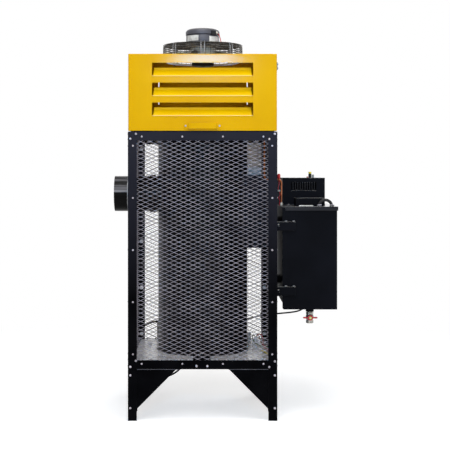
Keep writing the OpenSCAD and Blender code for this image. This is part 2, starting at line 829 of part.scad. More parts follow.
module bracket(z) {
    block([right, -bracket_bolt_y - 9, z], [right + bracket_t, -tank_y, z + bracket_h]);
    block([right, -bracket_y, z], [right + bracket_l, bracket_t - bracket_y, z + bracket_h]);
    for (lift = [0, bracket_h - bracket_t])
        block([right, -bracket_y, z + lift],
            [right + bracket_l, -tank_y, z + lift + bracket_t]);
    for (x = [37, 69])
        bar_z([right + x, -tank_y - 6.5, z + bracket_h], 5.5, 4);
    bar_x([right + bracket_t, -bracket_bolt_y, z + bracket_bolt_z], bracket_nut_r, 5);
    bar_x([right - skin, -bracket_bolt_y, z + bracket_bolt_z], bracket_bolt_r, skin + bracket_t);
    bar_x([right - skin - 6, -bracket_bolt_y, z + bracket_bolt_z], bracket_nut_r, 6);
}

module bracket_holes() for (s = [-1, 1])
    for (z = bracket_zs)
        bar_x([right - skin - 8, s * bracket_bolt_y, z + bracket_bolt_z],
            bracket_bolt_r + fit, skin + 20);

module tank_brackets() color("#1c1e24") for (z = bracket_zs) {
    bracket(z);
    mirror([0, 1, 0]) bracket(z);
}

module strainer() color("#a8aaad") difference() {
    union() {
        block([hatch_x + collar_in, hatch_y + collar_in, cover_top + collar_h],
            [hatch_x + hatch_w - collar_in, hatch_y + hatch_d - collar_in,
            cover_top + collar_h + 1.5]);
        difference() {
            filler_space(collar_t + 2);
            block([tank_x, -tank_y, tank_low], [tank_out, tank_y, tank_top - 90]);
            block([tank_x, -tank_y, cover_top + collar_h + 1], [tank_out, tank_y, tank_top + 200]);
        }
    }
    difference() {
        filler_space(collar_t + 3.5);
        block([tank_x, -tank_y, tank_low], [tank_out, tank_y, tank_top - 88.5]);
    }
    for (i = [0 : 4])
        for (j = [0 : 4])
            bar_z([hatch_x + hatch_w / 2 + (i - 2) * 14, hatch_y + hatch_d / 2 + (j - 2) * 13,
                tank_top - 100], 3, 30);
}

module filler_hatch() color("#15171c") difference() {
    union() {
        difference() {
            block([hatch_x, hatch_y, cover_top + hatch_gap],
                [hatch_x + hatch_w, hatch_y + hatch_d, cover_top + hatch_h]);
            block([hatch_x + hatch_t, hatch_y + hatch_t, cover_top],
                [hatch_x + hatch_w - hatch_t, hatch_y + hatch_d - hatch_t,
                cover_top + hatch_h - hatch_t]);
        }
        bar_x([hatch_x + hatch_w / 2 - 32.6, hatch_hinge_y, hatch_hinge_z], knuckle_r, 65.2);
        block([hatch_x + hatch_w / 2 - 32.6, hatch_y + hatch_d - 1, hatch_hinge_z - 1],
            [hatch_x + hatch_w / 2 + 32.6, hatch_hinge_y, hatch_hinge_z + knuckle_r]);
    }
    bar_x([hatch_x, hatch_hinge_y, hatch_hinge_z], hatch_pin_r + fit, hatch_w);
}

module suction_hose() color("#0e0e10") difference() {
    translate([hose_x, hose_y, cover_top]) rotate([90, 0, 0])
        rotate_extrude(angle = 180) translate([hose_bend, 0]) circle(r = hose_r);
    block([hose_x - 60, hose_y - 20, cover_top - 30], [hose_x + 60, hose_y + 20, cover_top]);
}

// Drain valve: body with its outlet, and the lever with the ball that it turns.
module drain_valve() color("#b5b7ba") difference() {
    union() {
        bar_z([valve_x, valve_y, valve_z - 25], 15.5, 16);
        bar_z([valve_x, valve_y, valve_z - 12], 14, 24);
        bar_z([valve_x, valve_y, valve_z + 10], 15.5, 13);
        translate([valve_x, valve_y, valve_z]) sphere(r = 16.5);
        bar_z([valve_x, valve_y, valve_z + 20], 10.5, 15);
        bar_y([valve_x, valve_y - 20, valve_z], 8, 10);
    }
    bar_z([valve_x, valve_y, valve_z - 30], valve_throat, 80);
    bar_z([valve_x, valve_y, valve_z - 30], valve_bore, 17);
    translate([valve_x, valve_y, valve_z]) sphere(r = ball_r + 0.3);
    bar_y([valve_x, valve_y - 30, valve_z], 4 + fit, 30);
}

module valve_lever() color("#c00c28") union() {
    difference() {
        translate([valve_x, valve_y, valve_z]) sphere(r = ball_r);
        bar_x([valve_x - 20, valve_y, valve_z], valve_throat, 40);
    }
    bar_y([valve_x, valve_y - 34, valve_z], 4, 26);
    difference() {
        union() {
            bar_y([valve_x, valve_y - 29, valve_z], lever_r, 8.5);
            block([valve_x - lever_span / 2, valve_y - 27, valve_z - 3.5],
                [valve_x + lever_span / 2, valve_y - 22, valve_z + 3.5]);
        }
        bar_y([valve_x, valve_y - 30, valve_z], 4, 20);
    }
    nut_y([valve_x, valve_y - 33, valve_z], 6, 4);
}

// Control box: base plate, cover with vent slots, pump and circuit board inside.
module control_base() color("#17181d") difference() {
    union() {
        block([box_x, box_y - 10, cover_top], [box_x + box_w, box_y + box_d + 10, box_low]);
        for (x = [25, box_w - 12])
            for (y = [box_y - 5, box_y + box_d + 5])
                bar_z([box_x + x, y, box_low], 3.5, 2.5);
    }
}

module control_box() color("#121318") difference() {
    block([box_x, box_y, box_low], [box_x + box_w, box_y + box_d, box_top]);
    block([box_x + box_t, box_y + box_t, box_low - 1],
        [box_x + box_w - box_t, box_y + box_d - box_t, box_top - box_t]);
    for (i = [0 : slot_count - 1])
        block([box_x + box_w / 2 + (i - (slot_count - 1) / 2) * slot_gap - slot_w / 2,
            box_y - 2, box_low + 60],
            [box_x + box_w / 2 + (i - (slot_count - 1) / 2) * slot_gap + slot_w / 2,
            box_y + 2, box_low + 60 + slot_h]);
    bar_y([gland_x, box_y + box_d - 5, gland_z], socket_r + fit, 10);
    bar_z([reset_x, panel_y, box_top - 5], 6.5 + fit, 10);
    bar_z([reset_x - 11, panel_y, box_top - 5], 3 + fit, 10);
    bar_z([reset_x + 12.5, panel_y, box_top - 5], 3 + fit, 10);
}

module oil_pump() color("#8d8f93") {
    block([box_x + 30, box_y + 120, box_low], [box_x + 66, box_y + 170, box_low + 44]);
    bar_x([box_x + 66, box_y + 145, box_low + 28], 27, 72);
    block([box_x + 80, box_y + 130, box_low], [box_x + 124, box_y + 160, box_low + 4]);
    bar_z([box_x + 48, box_y + 145, box_low + 44], 6, 14);
}

module circuit_board() color("#2f6b3a") {
    block([box_x + 20, box_y + 20, box_low + 8], [box_x + 140, box_y + 100, box_low + 9.6]);
    for (x = [26, 134])
        for (y = [26, 94])
            bar_z([box_x + x, box_y + y, box_low], 3, 8);
    block([box_x + 30, box_y + 50, box_low + 9.6], [box_x + 70, box_y + 90, box_low + 42]);
    for (x = [84, 104, 124])
        bar_z([box_x + x, box_y + 75, box_low + 9.6], 7, 22);
}

module reset_button() color("#e8d020") {
    bar_z([reset_x, panel_y, box_top + 8.5], 5, 11);
    bar_z([reset_x, panel_y, box_top + 19.5], 6.5, 5.5);
}

module stop_button() color("#c81e1e") {
    bar_z([reset_x - 11, panel_y, box_top + 2], 4, 3);
    bar_z([reset_x - 11, panel_y, box_top - 6], 3, 8);
}

module mode_knob() color("#a3a6a3") {
    bar_z([reset_x + 12.5, panel_y, box_top + 0.3], 5, 13);
    bar_z([reset_x + 12.5, panel_y, box_top - 6], 3, 6.3);
    block([reset_x + 11.7, panel_y - 5, box_top + 13.3], [reset_x + 13.3, panel_y, box_top + 14.3]);
}

module panel_fittings() color("#15161a") {
    difference() {
        bar_z([reset_x, panel_y, box_top - 12], 6.5, 29);
        bar_z([reset_x, panel_y, box_top + 4], 5 + fit, 30);
    }
    bar_y([gland_x, box_y + box_d - 6, gland_z], socket_r, 6);
    bar_y([gland_x, box_y + box_d, gland_z], 12, gland_t);
    translate([gland_x, box_y + box_d + gland_t, gland_z]) rotate([-90, 0, 0])
        cylinder(r1 = 9, r2 = cord_d / 2 + 1, h = boot_l);
}

// A tube swept through a list of rings: each ring is a point and two directions.
function unit(v) = v / norm(v);
function ring(p, u, v, r, sides) = [for (k = [0 : sides - 1])
    p + r * (cos(k * 360 / sides) * u + sin(k * 360 / sides) * v)];

module tube(rings, sides) {
    count = len(rings);
    points = [for (one = rings, p = one) p];
    walls = [for (i = [0 : count - 2], k = [0 : sides - 1])
        let (a = i * sides + k, b = i * sides + (k + 1) % sides)
            each [[a, b, b + sides], [a, b + sides, a + sides]]];
    first = [for (k = [sides - 1 : -1 : 0]) k];
    last = [for (k = [0 : sides - 1]) (count - 1) * sides + k];
    polyhedron(points, concat([first], walls, [last]));
}

// A smooth curve through chosen points, and its direction.
function held(p, i) = i < 0 ? 2 * p[0] - p[1]
    : i >= len(p) ? 2 * p[len(p) - 1] - p[len(p) - 2] : p[i];
function curve(p, i, t) = 0.5 * (2 * held(p, i) + (held(p, i + 1) - held(p, i - 1)) * t
    + (2 * held(p, i - 1) - 5 * held(p, i) + 4 * held(p, i + 1) - held(p, i + 2)) * t * t
    + (3 * held(p, i) - held(p, i - 1) - 3 * held(p, i + 1) + held(p, i + 2)) * t * t * t);
function slope(p, i, t) = 0.5 * (held(p, i + 1) - held(p, i - 1)
    + 2 * (2 * held(p, i - 1) - 5 * held(p, i) + 4 * held(p, i + 1) - held(p, i + 2)) * t
    + 3 * (3 * held(p, i) - held(p, i - 1) - 3 * held(p, i + 1) + held(p, i + 2)) * t * t);
function curve_steps(p, steps) = concat([for (i = [0 : len(p) - 2], s = [0 : steps - 1])
    [i, s / steps]], [[len(p) - 2, 1]]);
function curve_rings(p, steps, r, sides, side_dir) = [for (s = curve_steps(p, steps))
    let (t = unit(slope(p, s[0], s[1])), u = unit(cross(side_dir, t)), v = cross(t, u))
        ring(curve(p, s[0], s[1]), u, v, r, sides)];
function path_length(p) = len(p) < 2 ? 0
    : [for (i = 1, total = 0; i <= len(p); total = total + (i < len(p) ? norm(p[i] - p[i - 1]) : 0),
        i = i + 1) if (i == len(p)) total][0];

// The mains lead: free run, hung coil, tail with its plug, and the tie round the coil.
tail_points = [[coil_x - coil_r, coil_end, coil_z - cord_d],
    [coil_x - coil_r, coil_end, coil_z - 2 * cord_d],
    [coil_x - coil_r + 1, coil_end + 1, plug_z + 26],
    [coil_x - coil_r, coil_end, plug_z + cord_d],
    [coil_x - coil_r, coil_end, plug_z]];

module cord_run() color("#101012")
    tube(curve_rings(cord_points, 3, cord_d / 2, cord_sides, [1, 1, 1]), cord_sides);

module cord_tail() color("#101012")
    tube(curve_rings(tail_points, 2, cord_d / 2, cord_sides, [1, 1, 1]), cord_sides);

function coil_point(a) = [coil_x - coil_r * sin(a),
    coil_y + (coil_end - coil_y) * a / (360 * coil_turns), coil_z + coil_r * cos(a)];
function coil_out(a) = [-sin(a), 0, cos(a)];
coil_steps = loop_rings * coil_turns;
coil_centres = [for (i = [0 : coil_steps]) coil_point(i * 360 / loop_rings)];
coil_rings = concat(
    [ring([coil_x + cord_d, coil_y, coil_z + coil_r], [0, 1, 0], [0, 0, 1],
        cord_d / 2, coil_sides)],
    [for (i = [0 : coil_steps]) ring(coil_centres[i], [0, 1, 0],
        coil_out(i * 360 / loop_rings), cord_d / 2, coil_sides)],
    [ring([coil_x - coil_r, coil_end, coil_z - cord_d], [0, 1, 0], [-1, 0, 0],
        cord_d / 2, coil_sides)]);
coil_least = min([for (i = [0 : coil_steps - loop_rings / 2],
    j = [i + loop_rings / 2 : coil_steps]) norm(coil_centres[i] - coil_centres[j])]) - cord_d;
run_length = path_length([for (s = curve_steps(cord_points, 3)) curve(cord_points, s[0], s[1])]);
tail_length = path_length(tail_points);
coil_length = path_length(coil_centres) + 2 * cord_d;
echo("coil: least gap of the tube to itself, mm", coil_least);
echo("lead: run, coil, tail and whole length, mm", run_length, coil_length, tail_length,
    run_length + coil_length + tail_length);

module cord_coil() color("#101012") tube(coil_rings, coil_sides);

module mains_plug() color("#1a1a1c") {
    bar_z([coil_x - coil_r, coil_end, plug_z - 12], 7, 12);
    bar_z([coil_x - coil_r, coil_end, plug_z - 46], 17, 34);
    for (s = [-1, 1])
        bar_z([coil_x - coil_r, coil_end + s * 9.5, plug_z - 65], 2.4, 19);
}

module cord_tie() color("#2b2b2e") difference() {
    block([coil_x + coil_r - cord_d / 2 - 3, coil_y - cord_d / 2 - 3, coil_z - 8],
        [coil_x + coil_r + cord_d / 2 + 3, coil_end + cord_d / 2 + 3, coil_z + 8]);
    block([coil_x + coil_r - cord_d / 2 - 1.5, coil_y - cord_d / 2 - 1, coil_z - 9],
        [coil_x + coil_r + cord_d / 2 + 1, coil_end + cord_d / 2 + 1, coil_z + 9]);
}

// The hook on the bottom rail that carries the coil, and the clips that hold the lead.
clip_r = cord_d / 2 + 0.9;
clip_places = [[14, 0.787, far], [16, 0.69, far - angle_t], [18, 0.52, far - angle_t]];

module lead_clip(p, face) difference() {
    union() {
        block([p[0] - 22, face, p[2] - 12], [p[0] + 22, face + 2, p[2] + 12]);
        block([p[0] - 5, face, p[2] - clip_r - 2], [p[0] + 5, p[1], p[2] + clip_r + 2]);
        bar_x([p[0] - 5, p[1], p[2]], clip_r + 2, 10);
    }
    bar_x([p[0] - 30, p[1], p[2]], clip_r, 60);
}

peg_z = coil_z + coil_r - cord_d / 2 - 5.3;
module coil_hook() color("#2a2c31") {
    block([coil_x - 12, far, frame_low + 8], [coil_x + 12, far + 3, peg_z + 8]);
    bar_y([coil_x, far + 3, peg_z], 5, coil_end + cord_d / 2 + 3 - far - 3);
    bar_y([coil_x, coil_end + cord_d / 2 + 3, peg_z], 8, 3);
    for (z = [frame_low + 15, frame_low + 28])
        bar_y([coil_x, far + 3, z], 4.5, 2);
    for (one = clip_places)
        lead_clip(curve(cord_points, one[0], one[1]), one[2]);
}

// One line for each node.
post_near_left();
post_near_right();
post_far_left();
post_far_right();
top_frame();
bottom_frame();
gussets_near();
gussets_far();
mesh_near();
mesh_far();
mesh_back();
front_panel();
face_fasteners();
side_fasteners();
base_tray();
chamber_shell();
chamber_lid();
burner_pan();
flame_ring();
flue_pipe();
flue_plate();
foot_brackets();
neck_box();
fuel_pipe();
tray_fittings();
hood_seal();
hood_shell();
hood_louvres();
hood_top_plate();
hood_handle();
hood_hinges();
frame_hinges();
fan_guard();
motor_body();
motor_cap();
terminal_box();
fan_rotor();
fan_blades();
tank_shell();
tank_cover();
tank_brackets();
strainer();
filler_hatch();
suction_hose();
drain_valve();
valve_lever();
control_base();
control_box();
oil_pump();
circuit_board();
panel_fittings();
reset_button();
stop_button();
mode_knob();
coil_hook();
cord_run();
cord_coil();
cord_tail();
mains_plug();
cord_tie();
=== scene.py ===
from math import ceil, cos, pi, radians, sin

import bmesh
import bpy
from mathutils import Matrix, Vector


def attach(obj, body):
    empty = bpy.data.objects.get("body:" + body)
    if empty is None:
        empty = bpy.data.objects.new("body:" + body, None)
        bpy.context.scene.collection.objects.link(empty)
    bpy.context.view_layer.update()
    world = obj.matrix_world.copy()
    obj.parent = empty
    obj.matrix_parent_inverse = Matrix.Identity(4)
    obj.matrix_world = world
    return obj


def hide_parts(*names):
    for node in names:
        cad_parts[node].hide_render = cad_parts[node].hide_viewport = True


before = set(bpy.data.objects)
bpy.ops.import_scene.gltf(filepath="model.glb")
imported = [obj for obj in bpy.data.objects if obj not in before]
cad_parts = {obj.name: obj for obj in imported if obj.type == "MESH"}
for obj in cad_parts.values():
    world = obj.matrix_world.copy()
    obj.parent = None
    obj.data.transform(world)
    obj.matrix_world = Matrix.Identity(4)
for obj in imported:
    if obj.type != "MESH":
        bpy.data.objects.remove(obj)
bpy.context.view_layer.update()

# Waste oil heater. Pieces are drawn in millimetres and scaled to metres as they are made.
toMetres = 0.001
scene = bpy.context.scene
upAxis = Vector((0, 0, 1))
turns = {"Z": Matrix.Identity(4), "X": Matrix.Rotation(pi / 2, 4, "Y"),
    "Y": Matrix.Rotation(-pi / 2, 4, "X")}


def inMetres(point):
    return [c * toMetres for c in point]


def setAll(thing, **values):
    for key, value in values.items():
        setattr(thing, key, value)
    return thing


def newObject(name, data):
    made = bpy.data.objects.new(name, data)
    scene.collection.objects.link(made)
    return made


# ---- camera, level with the photograph's view
view = {"place": (15, -4806, 995), "focal": 89.82, "shiftX": 0.0415, "shiftY": -0.1156}
camera = newObject("camera", bpy.data.cameras.new("camera"))
setAll(camera, location=inMetres(view["place"]), rotation_euler=(pi / 2, 0, 0))
setAll(camera.data, sensor_width=36, lens=view["focal"], shift_x=view["shiftX"],
    shift_y=view["shiftY"])
scene.camera = camera


# ---- materials
def feedNode(tree, node, inputs):
    # a socket is linked, any other value is set
    for key, value in inputs.items():
        if isinstance(value, bpy.types.NodeSocket):
            tree.links.new(value, node.inputs[key])
        else:
            node.inputs[key].default_value = value


def addNode(tree, kind, inputs=None, **settings):
    made = setAll(tree.nodes.new("ShaderNode" + kind), **settings)
    feedNode(tree, made, inputs or {})
    return made


def shade(r, g, b):
    # a screen colour of 0 to 255 as the linear one that a shader wants
    return tuple((c / 255 / 12.92 if c < 11 else ((c / 255 + 0.055) / 1.055) ** 2.4)
        for c in (r, g, b)) + (1,)


def noiseAt(tree, place, scale, detail=4.0):
    return addNode(tree, "TexNoise", {"Vector": place, "Scale": scale, "Detail": detail,
        "Roughness": 0.55}).outputs["Fac"]


def ranged(tree, value, fromLow, fromHigh, toLow=0, toHigh=1):
    return addNode(tree, "MapRange", {"Value": value, "From Min": fromLow, "From Max": fromHigh,
        "To Min": toLow, "To Max": toHigh}).outputs["Result"]


def mixed(tree, factor, first, second, blend="MIX"):
    return addNode(tree, "Mix", {0: factor, 6: first, 7: second}, data_type="RGBA",
        blend_type=blend).outputs[2]


def mathOf(tree, first, second, operation="MULTIPLY"):
    return addNode(tree, "Math", {0: first, 1: second}, operation=operation).outputs[0]


# what a finish has where its own line doesn't say otherwise
finishDefaults = dict(stretch=(1, 1, 1), patch=9, grain=260, speck=0.16, edge=0.8,
    sootAndSheenRange=(0.15, 0.6), wearAndSheenAmount=0.6, wearAndSheenSize=38, dust=0, dustSize=22, dustTint=(178, 172, 160),
    rough=(0.3, 0.5), bump=0.12, bumpSize=420, bumpHigh=0.0006, metal=0.0, coat=0.0, coatRough=0.2,
    gloss=0.5)
tintKeys = ("dark", "light", "speckTint", "spangleTint", "liftTint", "sootAndSheen", "wearAndSheen", "paintedEdgeHighlight",
    "dustTint")


def heightOf(tree, vector):
    return addNode(tree, "SeparateXYZ", {0: vector}).outputs["Z"]


def makeFinish(name, look):
    look = {**finishDefaults, "speckTint": look["dark"], **look}
    look.update({key: shade(*look[key]) for key in tintKeys if key in look})
    material = bpy.data.materials.new(name)
    material.use_nodes = True
    tree = material.node_tree
    shader = tree.nodes["Principled BSDF"]
    place = addNode(tree, "TexCoord").outputs["Object"]
    stretched = addNode(tree, "Mapping", {"Vector": place, "Scale": look["stretch"]}).outputs[0]
    patch = noiseAt(tree, stretched, look["patch"])
    grain = noiseAt(tree, stretched, look["grain"], 6)
    colour = mixed(tree, ranged(tree, patch, 0.35, 0.65), look["dark"], look["light"])
    if "spangle" in look:
        cells = addNode(tree, "TexVoronoi", {"Vector": place, "Scale": look["spangle"],
            "Randomness": 1.0})
        tone = addNode(tree, "SeparateColor", {0: cells.outputs["Color"]}).outputs[0]
        colour = mixed(tree, ranged(tree, tone, 0, 1, 0, 0.8), colour, look["spangleTint"])
        grain = mathOf(tree, mathOf(tree, grain, 0.4), mathOf(tree, tone, 0.6), "ADD")
    colour = mixed(tree, ranged(tree, grain, 0.3, 0.7, 0, look["speck"]), colour, look["speckTint"])
    # painted top light: colour is added with height, so the thing is lighter towards the top and
    # darker towards the bottom
    if "lift" in look:
        rise = ranged(tree, heightOf(tree, place), *look["lift"])
        colour = mixed(tree, rise, colour, look["liftTint"], "ADD")
    # darker soot on the cast iron; on the flue stub the same mark is pale painted reflection
    # streaks on its upper part
    if "sootAndSheen" in look:
        sootAndSheenMask = mathOf(tree, ranged(tree, heightOf(tree, place), *look["sootAndSheenFrom"]), patch)
        colour = mixed(tree, ranged(tree, sootAndSheenMask, *look["sootAndSheenRange"], 0, 0.8), colour, look["sootAndSheen"])
    bevel = addNode(tree, "Bevel", {"Radius": look["edge"] * toMetres}, samples=4)
    geometry = addNode(tree, "NewGeometry")
    # rubbed edges in patches: real wear, which on the tank also stands as a painted highlight along
    # the edges
    if "wearAndSheen" in look:
        same = addNode(tree, "VectorMath", {0: bevel.outputs[0], 1: geometry.outputs["Normal"]},
            operation="DOT_PRODUCT").outputs["Value"]
        wearAndSheenMask = mathOf(tree, ranged(tree, same, 0.78, 0.97, 1, 0),
            ranged(tree, noiseAt(tree, place, look["wearAndSheenSize"], 5), 0.46, 0.6, 0, look["wearAndSheenAmount"]))
        colour = mixed(tree, wearAndSheenMask, colour, look["wearAndSheen"])
    # painted highlight: a pale line along edges that round over towards the top
    if "paintedEdgeHighlight" in look:
        rolled = heightOf(tree, bevel.outputs[0])
        edgeHighlightMask = mathOf(tree, ranged(tree, rolled, 0.25, 0.6), ranged(tree, rolled, 0.86, 0.97, 1,
            0))
        colour = mixed(tree, mathOf(tree, edgeHighlightMask, 0.9), colour, look["paintedEdgeHighlight"])
    if look["dust"]:
        upward = heightOf(tree, geometry.outputs["Normal"])
        settled = mathOf(tree, ranged(tree, upward, 0.5, 1, 0, look["dust"]),
            ranged(tree, noiseAt(tree, place, look["dustSize"], 5), 0.3, 0.7, 0.3, 1))
        colour = mixed(tree, settled, colour, look["dustTint"])
    uneven = mathOf(tree, mathOf(tree, patch, 0.5), mathOf(tree, grain, 0.5), "ADD")
    bumpSource = noiseAt(tree, stretched, look["bumpSize"], 3)
    if "spangle" in look:
        bumpSource = mathOf(tree, bumpSource, tone, "ADD")
    bump = addNode(tree, "Bump", {"Height": bumpSource, "Strength": look["bump"],
        "Distance": look["bumpHigh"], "Normal": bevel.outputs[0]})
    feedNode(tree, shader, {"Base Color": colour, "Normal": bump.outputs[0],
        "Roughness": ranged(tree, uneven, 0.3, 0.7, *look["rough"]), "Metallic": look["metal"],
        "Coat Weight": look["coat"], "Coat Roughness": look["coatRough"],
        "Specular IOR Level": look["gloss"]})
    return material


finishLooks = {
    # the frame's lift paints light on its upper part, so it is darker towards the bottom
    "frame_black": dict(dark=(3, 3, 4), light=(9, 9, 11), rough=(0.3, 0.45), speckTint=(20, 20, 24),
        wearAndSheen=(84, 82, 82), wearAndSheenAmount=0.35, bump=0.2, dust=0.02, gloss=0.01, lift=(0.5, 1.15),
        liftTint=(38, 38, 46)),
    "mesh_metal": dict(dark=(112, 107, 114), light=(158, 152, 160), metal=0.4, patch=14, edge=0.3),
    # a darker, warmer copy of the mesh finish for the far net: painted shade, warmed by a painted
    # reflection of the yellow hood
    "mesh_painted_shade": dict(dark=(112, 102, 84), light=(150, 138, 114), metal=0.5, patch=8, edge=0.3,
        slot="mesh_metal"),
    "passivated": dict(dark=(186, 194, 110), light=(222, 226, 156), metal=0.4, rough=(0.2, 0.4),
        edge=0.3, slot="zinc_fasteners"),
    "zinc_fasteners": dict(dark=(150, 144, 150), light=(204, 198, 204), metal=0.6,
        rough=(0.2, 0.42), patch=60, edge=0.3),
    "galvanised": dict(dark=(214, 214, 216), light=(244, 244, 246), metal=0.5, rough=(0.1, 0.3),
        spangle=70, spangleTint=(160, 162, 168), speckTint=(206, 176, 150), speck=0.25, dust=0.05),
    # a near-white copy of the galvanised finish: painted light for the tray, the heat plate and
    # small zinc parts that sit in shade
    "zinc_painted_light": dict(dark=(238, 238, 240), light=(252, 252, 252), metal=0.05, rough=(0.15, 0.3),
        spangle=70, spangleTint=(206, 206, 212), speckTint=(226, 200, 174), speck=0.25,
        slot="galvanised"),
    "chamber_dark": dict(dark=(6, 6, 8), light=(16, 15, 17), rough=(0.3, 0.42), metal=0.2, patch=5,
        stretch=(1, 1, 0.25), speck=0.25, speckTint=(30, 26, 27), bump=0.35, bumpSize=220,
        wearAndSheen=(112, 104, 100), dust=0.1, gloss=0.06),
    "flue_dark": dict(dark=(4, 4, 5), light=(10, 9, 10), rough=(0.2, 0.28), patch=6, speck=0.2,
        speckTint=(26, 20, 18), bump=0.08, dust=0.02, gloss=0.08, slot="chamber_dark"),
    # the flue stub's pale streaks on its upper half are painted reflections
    "flue_stub": dict(dark=(3, 3, 3), light=(7, 6, 6), rough=(0.2, 0.28), patch=70,
        stretch=(0.02, 0.4, 1), speck=0.1, speckTint=(20, 14, 12), bump=0.05, gloss=0.06,
        sootAndSheen=(166, 162, 164), sootAndSheenFrom=(0.908, 0.916), sootAndSheenRange=(0.4, 0.62), slot="chamber_dark"),
    "cast_iron": dict(dark=(44, 40, 38), light=(78, 72, 68), rough=(0.6, 0.85), metal=0.3, bump=0.6,
        bumpSize=300, sootAndSheen=(18, 16, 15), sootAndSheenFrom=(0.2, 0.5), dust=0.1),
    "copper": dict(dark=(132, 70, 42), light=(205, 126, 84), metal=1.0, rough=(0.22, 0.5), patch=30,
        speckTint=(78, 52, 40), speck=0.5),
    "rubber_black": dict(dark=(12, 12, 13), light=(26, 26, 28), rough=(0.5, 0.75), bump=0.3,
        bumpSize=800, speckTint=(48, 46, 44), gloss=0.3, dust=0.1),
    "hood_yellow": dict(dark=(216, 164, 0), light=(224, 173, 0), rough=(0.09, 0.12), patch=4,
        speck=0.08, speckTint=(170, 116, 0), bump=0.03, bumpSize=500, gloss=0.09,
        wearAndSheen=(242, 204, 90), wearAndSheenAmount=0.7, dust=0.06),
    # a lighter copy of the hood yellow for the louvre blades: painted light where they face up to
    # the lamps
    "flap_painted_light_yellow": dict(dark=(230, 180, 0), light=(238, 190, 0), rough=(0.2, 0.3), patch=4,
        speck=0.06, bump=0.03, bumpSize=500, gloss=0.05, slot="hood_yellow"),
    # pale yellow for a painted highlight line at the louvres
    "painted_highlight_yellow": dict(dark=(246, 214, 120), light=(252, 230, 160), rough=(0.2, 0.3),
        slot="hood_yellow"),
    "guard_wire": dict(dark=(14, 14, 16), light=(34, 34, 37), edge=0.3, patch=40,
        speckTint=(90, 88, 84), dust=0.1),
    "guard_arm": dict(dark=(126, 128, 132), light=(166, 168, 172), metal=0.2, rough=(0.3, 0.45),
        edge=0.3, patch=40, slot="guard_wire"),
    "motor_grey": dict(dark=(50, 50, 58), light=(82, 82, 90), metal=0.3, rough=(0.34, 0.55),
        bump=0.4, bumpSize=350, wearAndSheen=(168, 168, 170), dust=0.25),
    "rotor_alloy": dict(dark=(208, 210, 204), light=(242, 244, 234), metal=0.15, rough=(0.26, 0.5),
        patch=30, speckTint=(80, 78, 76), speck=0.35, dust=0.1),
    "blade_metal": dict(dark=(186, 190, 186), light=(232, 236, 228), metal=0.9, rough=(0.14, 0.28),
        patch=20, speck=0.2, slot="rotor_alloy"),
    "plate_silver": dict(dark=(196, 194, 186), light=(240, 238, 232), metal=0.2, rough=(0.25, 0.4),
        patch=60, speckTint=(140, 138, 134), speck=0.3, slot="rotor_alloy"),
    "black_plastic": dict(dark=(15, 15, 17), light=(30, 30, 33), rough=(0.38, 0.55), bump=0.3,
        bumpSize=900, speckTint=(40, 40, 40), gloss=0.25, dust=0.04),
    # tank and cover: their pale top edges are a painted highlight, and the tank's edge wear is
    # partly one too
    "tank_black": dict(dark=(6, 7, 11), light=(15, 16, 22), rough=(0.26, 0.4), patch=3, bump=0.2,
        bumpSize=450, wearAndSheen=(92, 92, 96), wearAndSheenAmount=0.3, speckTint=(26, 27, 33), dust=0.02, gloss=0.03,
        edge=2.5, paintedEdgeHighlight=(190, 186, 180)),
    "cover_black": dict(dark=(22, 22, 26), light=(38, 38, 43), rough=(0.26, 0.4), patch=3, bump=0.2,
        bumpSize=450, dust=0.02, gloss=0.15, edge=2.5, paintedEdgeHighlight=(190, 186, 180), slot="tank_black"),
    "nickel": dict(dark=(172, 168, 158), light=(224, 220, 208), metal=0.4, rough=(0.16, 0.36),
        patch=50, speckTint=(96, 88, 74), speck=0.3),
    "lever_red": dict(dark=(178, 8, 30), light=(206, 18, 40), rough=(0.24, 0.4),
        wearAndSheen=(150, 146, 140), coat=0.4, dust=0.04),
    "pump_metal": dict(dark=(104, 106, 110), light=(158, 160, 163), metal=0.9, rough=(0.34, 0.6),
        bump=0.4, patch=25, dust=0.1),
    "board_green": dict(dark=(20, 74, 38), light=(40, 110, 56), patch=120, speckTint=(190, 170, 90),
        speck=0.4, dust=0.1),
    "button_yellow": dict(dark=(222, 200, 14), light=(240, 220, 40), rough=(0.25, 0.4), dust=0.05),
    "button_red": dict(dark=(186, 16, 18), light=(214, 34, 30), rough=(0.25, 0.4), dust=0.05),
    "knob_grey": dict(dark=(140, 143, 140), light=(178, 181, 176), rough=(0.35, 0.5), dust=0.05),
    "lead_rubber": dict(dark=(3, 3, 4), light=(9, 9, 10), rough=(0.42, 0.62), bump=0.2,
        bumpSize=900, speckTint=(22, 22, 22), gloss=0.1),
}
finishes = {name: makeFinish(name, look) for name, look in finishLooks.items()}
print("finishes:", len(finishes))


# ---- how a piece is put together
def settle(piece, finish, body, stands):
    piece.data.materials.append(finishes[finish])
    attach(piece, body)
    if stands:
        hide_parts(*stands)
    return piece


def meshOf(part, name="part"):
    mesh = bpy.data.meshes.new(name)
    part.to_mesh(mesh)
    part.free()
    return mesh


def makePiece(name, part, finish, body="cabinet", stands=(), edge=0.4, wall=0, wallSide=0,
        smooth=35, evenWall=True):
    # part is one bmesh or a list of them
    if isinstance(part, list):
        part = gather(part)
    part.transform(Matrix.Scale(toMetres, 4))
    part.edges.index_update()
    rims = [e.index for e in part.edges if e.is_boundary]
    mesh = meshOf(part, name)
    mesh.shade_smooth()
    mesh.set_sharp_from_angle(angle=radians(smooth))
    for index in rims:
        mesh.edges[index].use_edge_sharp = True
    piece = newObject(name, mesh)
    if wall:
        setAll(piece.modifiers.new("wall", "SOLIDIFY"), thickness=wall * toMetres, offset=wallSide,
            use_even_offset=evenWall)
    if edge:
        setAll(piece.modifiers.new("edges", "BEVEL"), width=edge * toMetres, segments=2,
            limit_method="ANGLE", angle_limit=radians(40), harden_normals=True)
    elif wall:
        piece.modifiers.new("shading", "WEIGHTED_NORMAL").keep_sharp = True
    return settle(piece, finish, body, stands)


